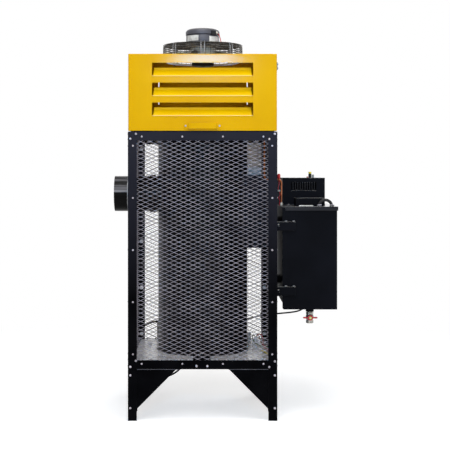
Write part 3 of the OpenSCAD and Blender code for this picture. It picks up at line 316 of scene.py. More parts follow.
def gather(parts):
    whole = bmesh.new()
    for part in parts:
        mesh = meshOf(part)
        whole.from_mesh(mesh)
        bpy.data.meshes.remove(mesh)
    return whole


def copied(part, matrix):
    twin = part.copy()
    twin.transform(matrix)
    if matrix.determinant() < 0:
        bmesh.ops.reverse_faces(twin, faces=twin.faces)
    return twin


def at(*place):
    return Matrix.Translation(place)


def spun(degrees, axis="Z"):
    return Matrix.Rotation(radians(degrees), 4, axis)


def outward(part):
    bmesh.ops.recalc_face_normals(part, faces=part.faces)
    return part


def allOf(part):
    return part.verts[:] + part.edges[:] + part.faces[:]


def sweep(part, steps, angle=0, shift=(0, 0, 0), **options):
    bmesh.ops.spin(part, geom=allOf(part), cent=(0, 0, 0), axis=upAxis, dvec=shift, angle=angle,
        steps=steps, **options)


def boxPart(low, high):
    part = bmesh.new()
    bmesh.ops.create_cube(part, size=1)
    middle = [(a + b) / 2 for a, b in zip(low, high)]
    part.transform(at(*middle) @ Matrix.Diagonal([b - a for a, b in zip(low, high)] + [1]))
    return part


def lathePart(profile, place=(0, 0, 0), axis="Z", steps=48):
    part = bmesh.new()
    line = [part.verts.new((r, 0, z)) for r, z in profile]
    for pair in zip(line, line[1:]):
        part.edges.new(pair)
    sweep(part, steps, 2 * pi, use_merge=True)
    bmesh.ops.remove_doubles(part, verts=part.verts, dist=0.001)
    outward(part)
    part.transform(at(*place) @ turns[axis])
    return part


def rodPart(start, end, radius, steps=20, endRadius=None):
    start, end = Vector(start), Vector(end)
    length = (end - start).length
    part = lathePart([(0, 0), (radius, 0), (endRadius or radius, length), (0, length)], steps=steps)
    lean = upAxis.rotation_difference((end - start).normalized()).to_matrix().to_4x4()
    part.transform(at(*start) @ lean)
    return part


def platePart(outline, low, high, axis="Z"):
    part = bmesh.new()
    face = part.faces.new([part.verts.new((u, v, low) if axis == "Z" else (u, low, v))
        for u, v in outline])
    made = bmesh.ops.extrude_face_region(part, geom=[face])["geom"]
    shift = Vector([(high - low) if letter == axis else 0 for letter in "XYZ"])
    bmesh.ops.translate(part, vec=shift, verts=[g for g in made
        if isinstance(g, bmesh.types.BMVert)])
    return outward(part)


def smoothPath(points, steps=5):
    # a smooth curve through all the points
    ends = [2 * Vector(points[0]) - Vector(points[1])] + [Vector(p) for p in points]
    ends.append(2 * ends[-1] - ends[-2])
    path = []
    for a, b, c, d in zip(ends, ends[1:], ends[2:], ends[3:]):
        for step in range(steps):
            t = step / steps
            path.append(0.5 * (2 * b + (c - a) * t + (2 * a - 5 * b + 4 * c - d) * t * t
                + (3 * b - a - 3 * c + d) * t * t * t))
    return path + [ends[-2]]


def makeTube(name, paths, radius, finish, body="cabinet", stands=(), closed=False, sides=3,
        taper=None):
    curve = setAll(bpy.data.curves.new(name, "CURVE"), dimensions="3D", use_fill_caps=True,
        bevel_depth=radius * toMetres, bevel_resolution=sides)
    for path in paths:
        spline = curve.splines.new("POLY")
        spline.points.add(len(path) - 1)
        for index, (point, place) in enumerate(zip(spline.points, path)):
            point.co = (*inMetres(place), 1)
            if taper:
                point.radius = taper(index / (len(path) - 1))
        spline.use_cyclic_u = closed
    piece = newObject(name, curve)
    return settle(piece, finish, body, stands)


def ringPath(radius, z, steps=72):
    angles = [2 * pi * k / steps for k in range(steps)]
    return [(radius * cos(a), radius * sin(a), z) for a in angles]


# ---- mains lead: the run, the hung coil and the tail are one cord
lead = {"diameter": 7, "coilRadius": 128, "coilX": -197, "coilY": 309, "coilZ": 191,
    "coilTurns": 2.25, "turnPitch": 8, "pointsPerTurn": 24, "boot": 8.2, "bootTaper": 0.42}
leadRun = [
    (480, 185, 905), (480, 197, 905), (480, 223, 900), (480, 252.5, 886), (480, 262.5, 862),
    (480, 267.5, 830), (480, 270.5, 780), (479, 272.5, 690), (478, 275.5, 600), (477, 278.5, 500),
    (472, 284, 430), (460, 291, 388), (438, 298, 370), (400, 304, 361), (343, 308, 355),
    (266, 309, 346), (200, 309, 331), (100, 309, 320), (0, 309, 315), (-80, 309, 315),
    (-140, 309, 318), (-177, 309, 319), (-190, 309, 319)]
leadEndX, leadEndY = lead["coilX"] - lead["coilRadius"], lead["coilY"] + 18
leadTail = [(leadEndX + out, leadEndY + out, z) for out, z in ((0, 184), (0, 177), (1, 154),
    (0, 135), (0, 128))]


def coilPoint(step):
    angle = 2 * pi * step / lead["pointsPerTurn"]
    return (lead["coilX"] - lead["coilRadius"] * sin(angle), lead["coilY"]
        + lead["turnPitch"] * step / lead["pointsPerTurn"], lead["coilZ"]
        + lead["coilRadius"] * cos(angle))


coilSteps = int(lead["pointsPerTurn"] * lead["coilTurns"])
leadCoil = [coilPoint(step) for step in range(coilSteps + 1)]
leadPath = smoothPath(leadRun + leadCoil + leadTail, 4)
mainsLead = makeTube("mainsLead", [leadPath], lead["diameter"] / 2, "lead_rubber",
    stands=["cord_run", "cord_coil", "cord_tail"], sides=4)
bootPath = smoothPath([(480, y, 905) for y in (155, 170, 185, 195)])
makeTube("leadBoot", [bootPath], lead["boot"], "rubber_black", sides=5,
    taper=lambda t: 1 - lead["bootTaper"] * t)
plug = {"pinGap": 9.5, "grip": 16}
plugPlace = (leadEndX, leadEndY, 0)
plugBody = lathePart([(0, 82), (13.5, 82), (15.5, 82.4), (17, 84), (17, 96), (16.4, 97), (16.4, 99),
    (17, 100), (16.6, 107), (14, 112), (9.5, 115), (7, 117), (7, 118.5), (6.2, 119), (6.2, 120.5),
    (6.6, 121), (6.4, 123), (5.4, 123.5), (5.4, 125), (5.6, 125.5), (5, 128), (0, 128)], plugPlace,
    steps=40)
plugGrips = [copied(boxPart((s * plug["grip"] - 1.2, -6, 86), (s * plug["grip"] + 1.2, 6, 94)),
    at(*plugPlace)) for s in (-1, 1)]
mainsPlug = makePiece("mainsPlug", [plugBody] + plugGrips, "black_plastic", stands=["mains_plug"],
    edge=0.3)
plugPins = makePiece("plugPins", [lathePart(
    [(0, 63), (1.4, 63), (2.4, 64.2), (2.4, 82.5), (0, 82.5)], (leadEndX,
    leadEndY + s * plug["pinGap"], 0), steps=20) for s in (-1, 1)], "nickel", edge=0)
tie = {"x": lead["coilX"] + lead["coilRadius"], "low": 183, "high": 199, "wall": 1.4}
tieOuter = [(tie["x"] + x, y) for x, y in (
    (-5.4, 303.2), (5.4, 303.2), (6.4, 305), (6.4, 331), (5, 333.2), (-5, 333.2), (-6.4, 331),
    (-6.4, 305))]
tieBand = platePart(tieOuter, tie["low"], tie["high"])
bmesh.ops.delete(tieBand, geom=[f for f in tieBand.faces if abs(f.normal.z) > 0.9],
    context="FACES_ONLY")
leadTie = makePiece("leadTie", tieBand, "rubber_black", stands=["cord_tie"], edge=0,
    wall=tie["wall"], wallSide=-1)


# ---- expanded metal: raised sheet in its real pitch, one part for each open side
netLook = {"longWay": 38.3, "shortWay": 16.8, "strand": 1.6, "farStrand": 2.4, "sheet": 1.3,
    "rise": 0.9, "half": 291, "backHalf": 285, "low": 214, "high": 1154, "plane": -295.6,
    "flueZ": 907, "flueHole": 96}


def netPart(half, strand):
    part = bmesh.new()
    longWay, shortWay = netLook["longWay"], netLook["shortWay"]
    columns = ceil(half / longWay) * 2 + 1
    middle = (netLook["low"] + netLook["high"]) / 2
    rows = ceil((netLook["high"] - netLook["low"]) / shortWay / 2) * 2 + 1
    for shift in (0, 0.5):
        centreX = (shift - columns // 2) * longWay
        centreZ = (shift - rows // 2) * shortWay
        corners = [(-longWay / 2, 0), (0, -shortWay / 2), (longWay / 2, 0), (0, shortWay / 2)]
        face = part.faces.new([part.verts.new((x + centreX, 0, z + centreZ)) for x, z in corners])
        face.normal_update()
        bmesh.ops.inset_region(part, faces=[face], thickness=strand / 2, use_even_offset=True,
            use_boundary=True)
        part.faces.remove(face)
    strands = [e for e in part.edges if e.calc_length() > shortWay / 2]
    bmesh.ops.subdivide_edges(part, edges=strands, cuts=2, use_grid_fill=True)
    sweep(part, columns - 1, shift=(longWay, 0, 0), use_duplicate=True)
    sweep(part, rows - 1, shift=(0, 0, shortWay), use_duplicate=True)
    bmesh.ops.remove_doubles(part, verts=part.verts, dist=0.02)
    for vert in part.verts:
        vert.co.y = netLook["rise"] * sin(4 * pi * vert.co.z / shortWay)
    part.transform(at(0, netLook["plane"], middle))
    for side, value in ((Vector((1, 0, 0)), half), (Vector((-1, 0, 0)), half),
            (Vector((0, 0, 1)), netLook["high"]), (Vector((0, 0, -1)), -netLook["low"])):
        bmesh.ops.bisect_plane(part, geom=allOf(part), plane_co=side * value, plane_no=side,
            clear_outer=True)
    return part


flueAxis = Vector((0, netLook["flueZ"]))
for name, node, half, strand, turn, finish in (
        ("nearNet", "mesh_near", "half", "strand", 0, "mesh_metal"),
        # the far net takes the darker copy of the mesh finish, painted shade
        ("farNet", "mesh_far", "half", "farStrand", 180, "mesh_painted_shade"),
        ("backNet", "mesh_back", "backHalf", "strand", -90, "mesh_metal")):
    net = netPart(netLook[half], netLook[strand])
    net.transform(spun(turn))
    if name == "backNet":
        hole = [f for f in net.faces
            if (f.calc_center_median().yz - flueAxis).length < netLook["flueHole"]]
        bmesh.ops.delete(net, geom=hole, context="FACES")
    makePiece(name, net, finish, stands=[node], edge=0, wall=netLook["sheet"], smooth=50)
print("expanded metal done")

# ---- fasteners: one screw with its washer and nut, set round the cabinet
screwLook = {"small": (4, 2.4, 7), "large": (4.8, 3.2, 6), "skin": 6, "nut": 5, "postX": 279.6,
    "postRows": [267 + 209.25 * i for i in range(5)], "railStep": 163, "railRows": (1141, 229)}
smallPlaces = [(s * screwLook["postX"], z) for s in (-1, 1) for z in screwLook["postRows"]] + [
    ((i - 1.5) * screwLook["railStep"], z) for z in screwLook["railRows"] for i in range(4)]
facePlaces = [(-268, 1152), (-290, 1132), (290, 1152), (268, 1131), (-268, 241), (-290, 217),
    (290, 239), (268, 216), (-24, 220), (19, 220), (-290, 183), (290, 183), (-290, 51), (290, 51)]
sidePlaces = [(s * 268, z) for s in (-1, 1) for z in (1152, 1131, 241, 216)]


def screwPart(headRadius, headHigh, nutRadius):
    # the axis is Z, the head's underside at 0 and the nut behind it
    r, h = headRadius, headHigh
    head = lathePart([(0, h * 0.35), (r * 0.42, h * 0.35), (r * 0.45, h * 0.98), (r * 0.6, h),
        (r * 0.85, h * 0.78), (r, h * 0.3), (r, 0), (0, 0)], steps=14)
    back = -screwLook["skin"]
    nut = rodPart((0, 0, back), (0, 0, back - screwLook["nut"]), nutRadius, 6)
    washer = rodPart((0, 0, back + 0.1), (0, 0, back - 0.9), nutRadius * 1.12, 14)
    tip = rodPart((0, 0, back - screwLook["nut"]), (0, 0, back - screwLook["nut"] - 1), r * 0.6, 10)
    return gather([head, nut, washer, tip])


def facesOf(places, angles, kind):
    part = screwPart(*screwLook[kind])
    made = []
    for angle in angles:
        for x, z in places:
            spin = spun((x * 7 + z * 13) % 60)  # no two nuts beside each other stand alike
            made.append(copied(part, spun(angle) @ at(x, -300, z) @ spun(90, "X") @ spin))
    part.free()
    return made


for name, angles, places, node in (
        ("faceScrews", (0, 180), facePlaces, "face_fasteners"), ("sideScrews", (90, 270),
        sidePlaces, "side_fasteners")):
    screws = facesOf(smallPlaces, angles, "small") + facesOf(places, angles, "large")
    makePiece(name, screws, "zinc_fasteners", stands=[node], edge=0)
print("fasteners done")

# strips that clamp the far net, the nuts on them and one on the tray's bracket
clamp = {"x": 277.5, "half": 13.5, "near": 291.4, "far": 293.4, "nutX": 278.5, "nutNear": 283}
makePiece("clampStrips", [boxPart((s * clamp["x"] - clamp["half"], clamp["near"], netLook["low"]),
    (s * clamp["x"] + clamp["half"], clamp["far"], netLook["high"])) for s in (-1, 1)],
    "frame_black", edge=0.3)
innerNuts = [rodPart((s * clamp["nutX"], clamp["near"], z), (s * clamp["nutX"], clamp["nutNear"],
    z), 9, 6) for s in (-1, 1) for z in screwLook["postRows"]]
innerNuts += [rodPart((-3, -270, 263), (-3, -270, 268.3), 6.3, 6)]
makePiece("innerNuts", innerNuts, "zinc_painted_light", edge=0.5)

# painted highlight strips on the rail's lower edge over the gussets, and a plate behind the far
# mesh
makePiece("railEdgeHighlights", [boxPart((a, s * 300.2 - 0.3, 205.4), (b, s * 300.2 + 0.3, 207.4))
    for a, b in ((-263, -94), (109, 263)) for s in (-1, 1)], "motor_grey", edge=0)
makePiece("heatPlate", [boxPart((200, 283, 980), (263, 284.5, 1130)),
    boxPart((200, 276, 1128.5), (263, 283, 1130))], "zinc_painted_light")

# ---- hood: one folded sheet with three louvres on two sides
hood = {"half": 299, "low": 1165, "high": 1474, "corner": 5, "fold": 2.5, "flange": 22,
    "inlet": 155, "louvreHalf": 203, "louvreLow": (1222, 1302, 1382), "louvreHigh": 56,
    "sheet": 1.5, "flap": 23}


def roundEdges(part, edges, offset, segments):
    bmesh.ops.bevel(part, geom=edges, offset=offset, offset_type="OFFSET", segments=segments,
        profile=0.5, affect="EDGES", clamp_overlap=True, material=-1)


def hoodPart():
    look = hood
    half, low, high = look["half"], look["low"], look["high"]
    part = boxPart((-half, -half, low), (half, half, high))
    upright = [e for e in part.edges if abs(e.verts[0].co.z - e.verts[1].co.z) > 1]
    roundEdges(part, upright, look["corner"], 4)
    rim = [e for e in part.edges if all(v.co.z > high - 0.01 for v in e.verts)
        and len(e.link_faces) == 2 and e.calc_face_angle(0) > 1]
    roundEdges(part, rim, look["fold"], 3)
    bottom = [f for f in part.faces if f.normal.z < -0.9]
    bmesh.ops.inset_region(part, faces=bottom, thickness=look["flange"], use_even_offset=True)
    bmesh.ops.delete(part, geom=[f for f in part.faces if f.normal.z < -0.9
        and f.calc_area() > half * half], context="FACES_ONLY")
    top = max((f for f in part.faces if f.normal.z > 0.9), key=lambda f: f.calc_area())
    outline = top.edges[:]
    part.faces.remove(top)
    inlet = bmesh.ops.create_circle(part, cap_ends=False, radius=look["inlet"],
        segments=96)["verts"]
    bmesh.ops.translate(part, vec=(0, 0, high), verts=inlet)
    circle = list({e for v in inlet for e in v.link_edges})
    bmesh.ops.triangle_fill(part, use_beauty=True, use_dissolve=False, edges=outline + circle)
    for level in look["louvreLow"]:
        cutFaces(part, level, level + look["louvreHigh"])
    return outward(part)


def cutFaces(part, low, high):
    # opens one louvre in the near and the far wall
    for plane, axis in ((low, 2), (high, 2), (-hood["louvreHalf"], 0), (hood["louvreHalf"], 0)):
        normal = Vector([1.0 if k == axis else 0.0 for k in range(3)])
        walls = [f for f in part.faces if abs(f.normal.y) > 0.99 and (axis == 2
            or low - 0.01 < f.calc_center_median().z < high + 0.01)]
        geom = walls + list({e for f in walls for e in f.edges}) + list({v for f in walls
            for v in f.verts})
        bmesh.ops.bisect_plane(part, geom=geom, plane_co=normal * plane, plane_no=normal)
    gone = [f for f in part.faces if abs(f.normal.y) > 0.99
        and low < f.calc_center_median().z < high
        and abs(f.calc_center_median().x) < hood["louvreHalf"]]
    bmesh.ops.delete(part, geom=gone, context="FACES")


def flapPart(level, front):
    # one louvre blade, folded in from the lower edge of its opening
    part = bmesh.new()
    y, run = front, hood["flap"]
    profile = [(202, y, level - 7), (202, y, level - 1), (199, y + 1, level + 1.2),
        (198, y + 10, level + 12.4), (196.5, y + run - 2, level + run + 3),
        (196, y + run - 0.4, level + run + 5.4), (196, y + run + 1, level + run + 15)]
    sides = [[part.verts.new((s * x, a, b)) for x, a, b in profile] for s in (-1, 1)]
    for a, b, c, d in zip(sides[0], sides[0][1:], sides[1][1:], sides[1]):
        part.faces.new((a, b, c, d))
    return outward(part)


makePiece("hoodSkin", hoodPart(), "hood_yellow", "hood", stands=["hood_shell", "hood_top_plate"],
    edge=0, wall=hood["sheet"], wallSide=-1, evenWall=False)
flaps = [flapPart(level, -hood["half"] + hood["sheet"] + 0.2) for level in hood["louvreLow"]]
flaps += [copied(flap, spun(180)) for flap in flaps]
# the louvre blades take the lighter yellow, painted light
makePiece("louvreBlades", flaps, "flap_painted_light_yellow", "hood", stands=["hood_louvres"], edge=0, wall=1.2)
# the lips paint a pale highlight line just above each louvre's lower edge; the sills are plain hood
# yellow
for name, y, low, high, finish, edge in (("louvreHighlightLips", 298, 2.4, 4, "painted_highlight_yellow", 0.5),
        ("louvreSills", 298.1, -0.5, 2.5, "hood_yellow", 0)):
    half = hood["louvreHalf"]
    strips = [boxPart((-half, s * y - 0.9, level + low), (half, s * y + 0.9, level + high))
        for level in hood["louvreLow"] for s in (-1, 1)]
    makePiece(name, strips, finish, "hood", edge=edge)
makePiece("inletRing", lathePart(
    [(hood["inlet"] + out, hood["high"] + up) for out, up in ((8, 0.2), (3, 0.3), (0.8, -1),
    (0, -4), (0, -8))], steps=96), "zinc_painted_light", "hood", edge=0, wall=1.2)

# ---- hood handle: a flat strap on two feet
handle = {"half": 58, "middle": 1184, "high": 24, "out": 14, "strap": 3, "foot": 16, "screw": 68}


def handlePart():
    look = handle
    y = -hood["half"]
    strap = [(-look["half"] - look["foot"], y - 3), (-look["half"], y - 3),
        (-look["half"] + 1, y - look["out"] + 2), (-look["half"] + 4, y - look["out"])]
    strap += [(-x, v) for x, v in reversed(strap)]
    inner = [(x, v + look["strap"]) for x, v in strap]
    inner[1:-1] = [(x + (3 if x < 0 else -3), v) for x, v in inner[1:-1]]
    outline = strap + list(reversed(inner))
    return platePart(outline, look["middle"] - look["high"] / 2, look["middle"] + look["high"] / 2)


makePiece("hoodHandle", handlePart(), "hood_yellow", "hood", stands=["hood_handle"], edge=0.8)
makePiece("handleScrews", [copied(screwPart(4, 2.5, 4), at(s * handle["screw"], -hood["half"] - 3,
    handle["middle"]) @ spun(90, "X")) for s in (-1, 1)], "zinc_fasteners", "hood", edge=0)
print("hood done")

# ---- fan guard: eight arms of paired wires and close rings, on four feet
guard = {"radius": 170, "top": 1545, "low": 1474, "wire": 1.5, "arm": 2.4, "plate": 77, "arms": 8,
    "armGap": 14.3, "sideRings": 9, "sidePitch": 7.8, "topRings": 11, "topPitch": 7.6,
    "topDrop": 0.5, "spokes": 48, "spoke": 1.1, "rim": 1539, "footRadius": 169}


def armPath(shift):
    look = guard
    edge = look["radius"] - look["arm"]
    line = [(edge, look["low"] + 2), (edge, look["rim"] - 12), (edge - 2, look["rim"] - 5),
        (edge - 7, look["rim"]), (edge - 14, look["rim"] + 1.6), (look["plate"] - 4,
        look["top"] - 3)]
    return [Vector((r, shift, z)) for r, z in line]


guardArms = [[spun(360 / guard["arms"] * k + 90) @ point
    for point in armPath(s * guard["armGap"] / 2)] for k in range(guard["arms"]) for s in (-1, 1)]
topRings = [ringPath(guard["plate"] + guard["topPitch"] * k,
    guard["top"] - guard["wire"] - guard["topDrop"] * k) for k in range(1, guard["topRings"] + 1)]
sideRings = [ringPath(guard["radius"] - guard["wire"], guard["low"] + guard["wire"]
    + guard["sidePitch"] * k) for k in range(guard["sideRings"])]
makeTube("guardRings", topRings + sideRings, guard["wire"], "guard_wire", "hood",
    stands=["fan_guard"], closed=True)
makeTube("guardArms", guardArms, guard["arm"], "guard_arm", "hood")
spokes = [[spun(360 / guard["spokes"] * (k + 0.5)) @ Vector(point)
    for point in ((76, 0, 1541.6), (120, 0, 1539.4), (164, 0, 1537.2), (167, 0, 1534),
    (168, 0, 1476))] for k in range(guard["spokes"])]
makeTube("guardSpokes", spokes, guard["spoke"], "guard_wire", "hood", sides=2)
guardFeet = []
for quarter in range(4):
    footTop = guard["low"] + 2
    foot = platePart([(-14, -9), (10, -9), (14, -5), (14, 5), (10, 9), (-14, 9)], guard["low"],
        footTop)
    screw = copied(screwPart(4.5, 3, 4.5), at(7, 0, footTop))
    quarterTurn = spun(45 + 90 * quarter) @ at(guard["footRadius"], 0, 0)
    guardFeet += [copied(piece, quarterTurn) for piece in (foot, screw)]
guardPlate = lathePart([(57, 1542), (76, 1542), (76.5, 1543), (76.5, 1544.4), (76, 1545),
    (57, 1545), (57, 1542)], steps=64)
makePiece("guardFeet", guardFeet + [guardPlate], "guard_wire", "hood", edge=0.3)

# ---- fan motor: housing, round cap, terminal block with its gland
motor = {"boxAngle": -50, "capRibs": 12, "wire": 1.8}
housing = lathePart([(0, 1545), (69, 1545), (71, 1546.5), (71, 1551), (70.2, 1552), (70.2, 1553.4),
    (71, 1554.4), (71, 1578.5), (70, 1580), (67, 1580), (67, 1583), (0, 1583)], steps=72)
shaft = rodPart((0, 0, 1459), (0, 0, 1545), 8, 32)
makePiece("motorHousing", [housing, shaft], "motor_grey", "hood", stands=["motor_body"], edge=0.3)
cap = lathePart([(0, 1583), (72, 1583), (73, 1584), (73, 1596), (71, 1600.5), (67, 1604.5),
    (61, 1607.4), (54, 1608.8), (46, 1609), (40, 1608.6), (38, 1607.4), (12, 1607.2), (10, 1608.6),
    (0, 1608.8)], steps=72)
capRibs = [copied(boxPart((14, -1.2, 1606.8), (37, 1.2, 1608.8)), spun(360 / motor["capRibs"] * k))
    for k in range(motor["capRibs"])]
makePiece("motorCap", [cap] + capRibs, "motor_grey", "hood", stands=["motor_cap"], edge=0.3)


def bentPlate(radius, fromAngle, toAngle, low, high):
    # a thin plate that lies round the housing
    part = bmesh.new()
    part.edges.new([part.verts.new((radius, 0, z)) for z in (low, high)])
    sweep(part, 14, radians(toAngle - fromAngle))
    part.transform(spun(fromAngle))
    return outward(part)


makePiece("motorPlates", [bentPlate(71.5, -156, -105, 1554.5, 1578),
    bentPlate(71.5, -67, -27, 1549, 1574)], "plate_silver", "hood", edge=0, wall=0.6)
block = [boxPart((60, -14, 1578), (76.5, 10, 1597)), boxPart((60, -11, 1597), (75, 8, 1598)),
    boxPart((75, -12, 1581), (77, 8, 1595))]
gland = lathePart([(0, 10), (8, 10), (8, 14.5), (6.6, 15), (6.6, 17), (7, 17.5), (6.4, 21),
    (3.6, 21), (3.6, 16), (0, 16)], (69, 0, 1589), "Y", 24)
boxTurn = spun(motor["boxAngle"])
makePiece("terminalBlock", copied(gather(block), boxTurn), "black_plastic", "hood",
    stands=["terminal_box"], edge=0.8)
makePiece("terminalGland", copied(gland, boxTurn), "nickel", "hood", edge=0.3)
fanWire = smoothPath([boxTurn @ Vector(p) for p in (
    (69, 20, 1589), (69, 25, 1588), (70, 32, 1580), (73, 36, 1565), (76, 37, 1554),
    (82, 36, 1548.6), (96, 34, 1548), (112, 32, 1547.4))])
makeTube("fanWire", [fanWire], motor["wire"], "lever_red", "hood")

# ---- rotor and blades
fan = {"blades": 6, "hub": 46, "tip": 147, "low": 1476, "high": 1512, "pitch": 30, "sheet": 2,
    "studRows": 4, "studsPerRow": 36}


def bladePart():
    # a flat grid bent into one sickle blade
    part = bmesh.new()
    bmesh.ops.create_grid(part, x_segments=10, y_segments=6, size=0.5)
    look = fan
    for vert in part.verts:
        out, across = vert.co.x + 0.5, vert.co.y
        radius = look["hub"] - 6 + out * (look["tip"] - look["hub"] + 6)
        chord = 44 + 16 * sin(out * pi * 0.8)
        pitch = radians(look["pitch"] + 10 * (0.5 - out))
        bend = chord * across * cos(pitch) + 16 * out * out
        angle = bend / max(radius, 60)
        lift = chord * across * sin(pitch) - 5 * (0.25 - across * across) * 4 * 0.35
        height = (look["low"] + look["high"]) / 2 + max(-17, min(17, lift))
        vert.co = (radius * cos(angle), radius * sin(angle), height)
    return outward(part)


blade = bladePart()
blades = [copied(blade, spun(360 / fan["blades"] * k)) for k in range(fan["blades"])]
blade.free()
makePiece("fanBlades", blades, "blade_metal", "impeller", stands=["fan_blades"], edge=0,
    wall=fan["sheet"], smooth=60)
rotor = lathePart([(8.05, 1458), (8.05, 1537), (46, 1537), (47, 1536), (47, 1533), (50, 1532.4),
    (50.4, 1529), (52.5, 1528.4), (52.8, 1524.6), (54.8, 1524), (55, 1520.6), (56.8, 1520),
    (57, 1516), (58, 1515.4), (58, 1498), (57, 1495), (46, 1494), (46, 1466), (44, 1464),
    (12, 1463), (12, 1458), (8.05, 1458)], steps=64)
makePiece("fanRotor", rotor, "rotor_alloy", "impeller", stands=["fan_rotor"], edge=0.3)
hubDome = [lathePart([(12, 1452), (30, 1450), (38, 1450.4), (43, 1452.4), (45.8, 1456),
    (46.4, 1462), (46.6, 1494), (45, 1494), (45, 1466), (12, 1466), (12, 1452)], steps=64)]
for row in range(fan["studRows"]):
    stud = rodPart((46, 0, 1457 + 5 * row), (47.6, 0, 1457 + 5 * row), 1.9, 6)
    hubDome += [copied(stud, spun(180 / fan["studsPerRow"] * (2 * k + row % 2)))
        for k in range(fan["studsPerRow"])]
    stud.free()
makePiece("hubDome", hubDome, "black_plastic", "impeller", edge=0)
print("fan done")

# ---- tank side: suction hose, feed pipe, drain valve, handle and small fittings
hose = {"x": 500, "y": -232, "bend": 26, "tube": 6, "low": 859}
hosePath = [(hose["x"] - hose["bend"] * cos(pi * k / 24), hose["y"],
    hose["low"] + hose["bend"] * sin(pi * k / 24)) for k in range(25)]
makeTube("suctionHose", [[(hosePath[0][0], hose["y"], 858)] + hosePath
    + [(hosePath[-1][0], hose["y"], 858)]], hose["tube"], "rubber_black", stands=["suction_hose"],
    sides=6)
hoseClips = []
for s in (-1, 1):
    clipPlace = (hose["x"] + s * hose["bend"], hose["y"], 0)
    hoseClips.append(lathePart([(6.1, 863.4), (7.4, 863.4), (7.4, 867), (6.1, 867), (6.1, 863.4)],
        clipPlace, steps=32))
    hoseClips.append(rodPart((clipPlace[0] + 4, clipPlace[1] - 8, 865.2),
        (clipPlace[0] + 10, clipPlace[1] - 8, 865.2), 1.8, 12))
makePiece("hoseClips", hoseClips, "zinc_fasteners", edge=0.2)
feed = {"radius": 4, "y": -120, "tankX": 328, "lidX": 100}
feedPath = [(x, feed["y"], z) for x, z in (
    (328, 859), (328, 900), (328, 940), (327.6, 956), (322, 965), (312, 968), (296, 968),
    (278, 968), (266, 970), (259.6, 977), (258, 990), (258, 1060), (258, 1130), (256.4, 1150),
    (250, 1157.6), (238, 1160), (180, 1160), (118, 1160), (106, 1158), (101, 1152), (100, 1142),
    (100, 1136))]
makeTube("feedPipe", [smoothPath(feedPath, 4)], feed["radius"], "copper", stands=["fuel_pipe"],
    sides=5)
makePiece("pipeNuts", [rodPart((x, feed["y"], low), (x, feed["y"], high), *size)
    for x, low, high, size in (
    (feed["tankX"], 859.4, 868, (8, 6)), (feed["tankX"], 868, 873, (6.4, 24, 4.6)),
    (feed["lidX"], 1145, 1152, (7.4, 6)))], "nickel")

valve = {"place": (441, -180, 402), "hex": 15.4, "ball": 11, "stem": 4}


def fromValve(x=0, y=0, z=0):
    return [a + b for a, b in zip(valve["place"], (x, y, z))]


valveBody = lathePart([(8, -25), (13, -25), (14.4, -24), (14.4, -12), (12.4, -11), (15, -8),
    (16.4, -3), (16.4, 3), (15, 8), (12.4, 11), (12.4, 20), (10.4, 21), (10.4, 35), (8, 35)],
    fromValve(), steps=40)
valveHexes = [rodPart(fromValve(z=low), fromValve(z=high), valve["hex"], 6)
    for low, high in ((-23, -12.5), (11, 20))]
valveStem = lathePart([(0, 0), (8, 0), (8, 4), (7, 5), (7, 9.6), (4.3, 9.6), (4.3, 0), (0, 0)],
    fromValve(y=-20), "Y", 32)
makePiece("valveBody", [valveBody] + valveHexes + [valveStem], "nickel", stands=["drain_valve"])
wing = [(7, -5), (14, -2.8), (24, -3.6), (29, -2.4), (30, 0), (29, 2.4), (24, 3.6), (14, 2.8),
    (7, 5)]
wing += [(-u, -v) for u, v in wing]
lever = platePart([tuple(fromValve(u, 0, v))[::2] for u, v in wing], fromValve(y=-27)[1],
    fromValve(y=-22.5)[1], "Y")
leverHub = lathePart([(4, -29), (10, -29), (11.5, -27.6), (11.5, -21.4), (11, -20.6), (4, -20.6),
    (4, -29)], fromValve(), "Y", 40)
makePiece("valveLever", [lever, leverHub], "lever_red", "valve", stands=["valve_lever"], edge=0.9)
leverNut = rodPart(fromValve(y=-33), fromValve(y=-29), 6, 6)
leverStem = rodPart(fromValve(y=-34), fromValve(y=-9), valve["stem"], 24)
ball = valve["ball"]
valveBall = lathePart([(0, -ball)] + [(ball * cos(a * pi / 20), ball * sin(a * pi / 20))
    for a in range(-9, 10)] + [(0, ball)], fromValve(), steps=32)
makePiece("leverNut", [leverNut, leverStem, valveBall], "passivated", "valve")
bracket = {"levels": (762, 499), "boltY": 279, "studY": 256.5, "studX": (337, 369)}
bolts, studs = [], []
for side in (-1, 1):
    boltY, studY = side * bracket["boltY"], side * bracket["studY"]
    for level in bracket["levels"]:
        bolts.append(rodPart((303, boltY, level + 21), (308.3, boltY, level + 21), 6.15, 6))
        studs += [rodPart((x, studY, level + 36), (x, studY, level + 40.3), 5.65, 16)
            for x in bracket["studX"]]
makePiece("bracketBolts", bolts, "plate_silver", edge=0.5)
makePiece("bracketStuds", studs, "pump_metal", edge=0.5)
makePiece("wirePlate", boxPart((301.2, -112, 862), (327, -110, 976)), "black_plastic")
makePiece("baseScrews", [lathePart([(0, 861), (3.7, 861), (3.7, 862.6), (2.6, 863.8), (0, 864)],
    (x, y, 0), steps=16) for x in (362, 503) for y in (-75, 155)], "zinc_fasteners", edge=0)
makePiece("coverStrip", boxPart((391.8, -248.2, 861), (449.2, -243.8, 864)), "plate_silver")
vent = {"middle": 426, "gap": 10, "bar": 1.4, "low": 921, "high": 956, "front": -70.6,
    "back": -69.9, "count": 10}
barPlaces = [vent["middle"] + vent["gap"] * (k - (vent["count"] - 1) / 2)
    for k in range(vent["count"])]
makePiece("slotBars", [boxPart((x - vent["bar"], vent["front"], vent["low"]),
    (x + vent["bar"], vent["back"], vent["high"])) for x in barPlaces], "cover_black", edge=0.2)
makePiece("elbowCap", lathePart([(0, 971), (5, 971), (6.4, 972.5), (6.8, 978), (6.6, 986),
    (5.2, 990.4), (2.8, 992), (0, 992.4)], (317, -132, 0), steps=28), "button_red", edge=0)
